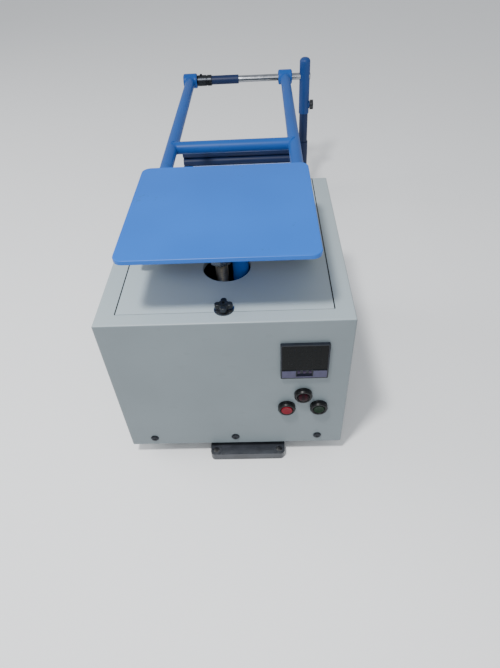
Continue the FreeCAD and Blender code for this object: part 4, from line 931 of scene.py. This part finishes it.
@dataclass
class Controls:
    """The counter, the lamp and the two buttons on the front."""

    shop: Workshop
    film: float = 0.25 * MM
    strip_height: float = 18.0 * MM
    keypad_width: float = 24.0 * MM
    keypad_height: float = 13.0 * MM
    keypad_depth: float = 0.6 * MM
    margin: float = 2.2 * MM
    label_gap: float = 1.2 * MM
    label_drop: float = 0.5 * MM
    film_sunk: float = 0.1 * MM
    film_edge: float = 0.1 * MM
    film_inset: float = 0.3 * MM
    keys_depth: float = 7.2 * MM
    digit_count: int = 4
    segment_wide: float = 1.2 * MM
    segment_thick: float = 0.1 * MM
    segment_proud: float = 0.06 * MM
    row_rise: float = 0.72
    row_sizes: tuple[float, ...] = (1.0, 0.82)
    digit_room: float = 1.2
    digit_start: float = 1.1
    digit_wide: float = 0.56
    digit_tall: float = 0.34
    dish: float = 0.9 * MM
    cap_depth: float = 3.2 * MM
    cap_edge: float = 0.9 * MM
    stem_start: float = 3.0 * MM
    stem_part: float = 0.8

    def build(self) -> None:
        """Dresses the controls and adds the films, the caps and the dark digits of the display."""
        self.shop.wear("bezel_abs", "counter_bezel")
        self.shop.wear("smoked_window", "counter_window")
        self.shop.wear("black_abs", "counter_case", "control_bodies")
        self.shop.wear("key_cap", "counter_key_1", "counter_key_2", "counter_key_3")
        self.shop.wear("control_bezel_gloss", "control_bezels")
        self.shop.wear("lamp_lens_red", "lamp_lens")
        self.dished_cap("stop_button", "stop_red", "red_cap")
        self.dished_cap("start_button", "start_green", "green_cap")
        self.films()
        self.display()

    def dished_cap(self, node: str, finish: str, slot: str) -> None:
        """Replaces a button by one whose face is dished for the finger.

        Args:
            node: the button's node and body.
            finish: the finish it wears.
            slot: the record's material slot.
        """
        low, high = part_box(node)
        radius = (high.x - low.x) / 2
        steps = 8
        round_steps = 4
        rim = self.cap_edge
        profile = [(0.0, -self.cap_depth), (radius, -self.cap_depth)]
        for k in range(round_steps + 1):
            turn = math.pi / 2 * k / round_steps
            profile.append((radius - rim + rim * math.cos(turn), -rim + rim * math.sin(turn)))
        flat = radius - 1.5 * rim
        for k in range(1, steps + 1):
            part = 1 - k / steps
            profile.append((flat * part, -self.dish * (1 - part * part)))
        centre = middle_of(node)
        cap = placed(turned(profile, 64), quarter_turn("X"), Vector((centre.x, low.y, centre.z)))
        thick = radius * self.stem_part
        long = high.y - low.y - self.stem_start
        stem = turned([(0, 0), (thick, 0), (thick, long), (0, long)])
        stem = placed(stem, quarter_turn("X", -1), Vector((centre.x, low.y + self.stem_start, centre.z)))
        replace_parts(self.shop.piece(node + "_cap", joined([cap, stem]), finish, node, slot), node)

    def film_slab(self, left: float, right: float, bottom: float, top: float,
                  face: float) -> bmesh.types.BMesh:
        """Makes a thin film between two sides and two levels, stuck on a face that looks to the front."""
        return slab(Vector((left, face - self.film, bottom)), Vector((right, face + self.film_sunk, top)),
                    self.film_edge, 1)

    def films(self) -> None:
        """Sticks the label films and the keypad's film on the strip below the window."""
        low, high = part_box("counter_bezel")
        centre = middle_of("counter_bezel").x
        top = low.z + self.strip_height
        bottom = low.z + self.margin
        inner = (high.x - low.x) / 2 - self.margin
        half = self.keypad_width / 2
        reach = half + self.label_gap
        labels = []
        for side in (-1, 1):
            near, far = sorted((centre + side * reach, centre + side * inner))
            labels.append(self.film_slab(near, far, bottom, top - self.label_gap, low.y))
        under = top - self.keypad_height - self.label_drop
        labels.append(self.film_slab(centre - reach, centre + reach, bottom, under, low.y))
        self.shop.piece("counter_labels", joined(labels), "label_film", "frame", "bezel_plastic")
        pad = self.film_slab(centre - half + self.film_inset, centre + half - self.film_inset,
                             top - self.keypad_height + self.film_inset, top - self.keys_depth,
                             low.y + self.keypad_depth)
        self.shop.piece("keypad_film", pad, "keypad_film", "frame", "bezel_plastic")

    def display(self) -> None:
        """Draws the unlit segments of the display just in front of the window's face."""
        low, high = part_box("counter_window")
        parts = []
        wide = (high.x - low.x) / (self.digit_count + self.digit_room)
        tall = (high.z - low.z) * self.digit_tall
        middle = (low.z + high.z) / 2
        face = low.y - self.segment_proud
        levels = (middle + tall * self.row_rise, middle - tall * self.row_rise)
        for level, part in zip(levels, self.row_sizes):
            for k in range(self.digit_count):
                x = low.x + wide * (k + self.digit_start)
                parts += self.digit(Vector((x, face, level)), wide * self.digit_wide, tall * part)
        self.shop.piece("counter_segments", joined(parts), "segment_grey", "frame", "window_plastic")

    def digit(self, centre: Vector, wide: float, tall: float) -> list[bmesh.types.BMesh]:
        """Makes the seven bars of one digit.

        Args:
            centre: its middle on the window's face.
            wide: its width.
            tall: its height.

        Returns:
            Seven thin bars.
        """
        bars = []
        half = self.segment_wide / 2
        flat = wide / 2 - half
        upright = tall / 4 - half * 1.4
        back = centre.y + self.segment_thick
        for level in (-1, 0, 1):
            z = centre.z + level * tall / 2
            bars.append(slab(Vector((centre.x - flat, centre.y, z - half)),
                             Vector((centre.x + flat, back, z + half))))
        for side in (-1, 1):
            for level in (-1, 1):
                x = centre.x + side * wide / 2
                z = centre.z + level * tall / 4
                bars.append(slab(Vector((x - half, centre.y, z - upright)),
                                 Vector((x + half, back, z + upright))))
        return bars


# ---------------------------------------------------------------- studio
@dataclass(frozen=True)
class Softbox:
    """A square area lamp: where it hangs, the point it faces, its side in metres and its watts."""

    name: str
    place: tuple[float, float, float]
    target: tuple[float, float, float]
    side: float
    watts: float

    def hang(self) -> None:
        """Puts the lamp in the scene."""
        data = bpy.data.lights.new(self.name, "AREA")
        data.shape = "SQUARE"
        data.size = self.side
        data.energy = self.watts
        made = bpy.data.objects.new(self.name, data)
        made.location = self.place
        aim = Vector(self.target) - Vector(self.place)
        made.rotation_euler = aim.to_track_quat("-Z", "Y").to_euler()
        bpy.context.scene.collection.objects.link(made)


@dataclass
class Studio:
    """A pale floor, soft light and the camera."""

    sensor: float = 36.0
    lens: float = 26.81
    eye: Vector = field(default_factory=lambda: Vector((0.0609, -0.6356, 0.7814)))
    yaw: float = math.radians(2.79)
    tilt: float = math.radians(46.16)
    roll: float = math.radians(-3.51)
    floor_size: float = 14.0
    floor_drop: float = 0.2 * MM
    floor_hex: str = "#f4f5f6"
    floor_roughness: float = 0.9
    room_hex: str = "#f3f6fa"
    room_strength: float = 0.70
    lamps: tuple[Softbox, ...] = (
        Softbox("key_softbox", (-0.27, -0.57, 1.72), (0.0, 0.0, 0.35), 0.18, 29.0),
        Softbox("left_softbox", (-2.4, 0.6, 1.7), (0.0, 0.3, 0.3), 1.4, 30.0),
        Softbox("front_fill", (0.05, -1.05, 1.10), (0.0, -0.1, 0.32), 0.6, 2.6),
    )

    def build(self) -> None:
        """Sets camera, lights and floor."""
        self.camera()
        self.floor()
        self.world()
        for lamp in self.lamps:
            lamp.hang()

    def camera(self) -> None:
        """Puts the camera above and in front of the machine, looking down at it."""
        data = bpy.data.cameras.new("camera")
        data.sensor_width = self.sensor
        data.lens = self.lens
        data.clip_start = 0.01
        made = bpy.data.objects.new("camera", data)
        made.matrix_world = (Matrix.Translation(self.eye) @ Matrix.Rotation(self.yaw, 4, "Z")
                             @ Matrix.Rotation(self.tilt, 4, "X") @ Matrix.Rotation(self.roll, 4, "Z"))
        bpy.context.scene.collection.objects.link(made)
        bpy.context.scene.camera = made

    def floor(self) -> None:
        """Lays the pale floor."""
        mesh = bmesh.new()
        bmesh.ops.create_grid(mesh, x_segments=1, y_segments=1, size=self.floor_size / 2)
        bmesh.ops.translate(mesh, vec=(0, 0, -self.floor_drop), verts=mesh.verts)
        data = bpy.data.meshes.new("floor")
        mesh.to_mesh(data)
        mesh.free()
        made = bpy.data.objects.new("floor", data)
        bpy.context.scene.collection.objects.link(made)
        data.materials.append(Finish("studio_floor", self.floor_hex, self.floor_roughness).build())

    def world(self) -> None:
        """Fills the room with an even pale light."""
        world = bpy.data.worlds.new("room")
        world.use_nodes = True
        background = world.node_tree.nodes["Background"]
        background.inputs["Color"].default_value = linear(self.room_hex)
        background.inputs["Strength"].default_value = self.room_strength
        bpy.context.scene.world = world


def main() -> None:
    """Builds the looks of the whole machine."""
    logging.basicConfig(level=logging.INFO, format="%(name)s: %(message)s")
    Studio().build()
    shop = Workshop(Finishes())
    for assembly in (Cabinet, TableAndArms, Stand, Drive, Controls):
        assembly(shop).build()
    log.info("%d pieces added", shop.count)


if __name__ == "__main__":
    main()
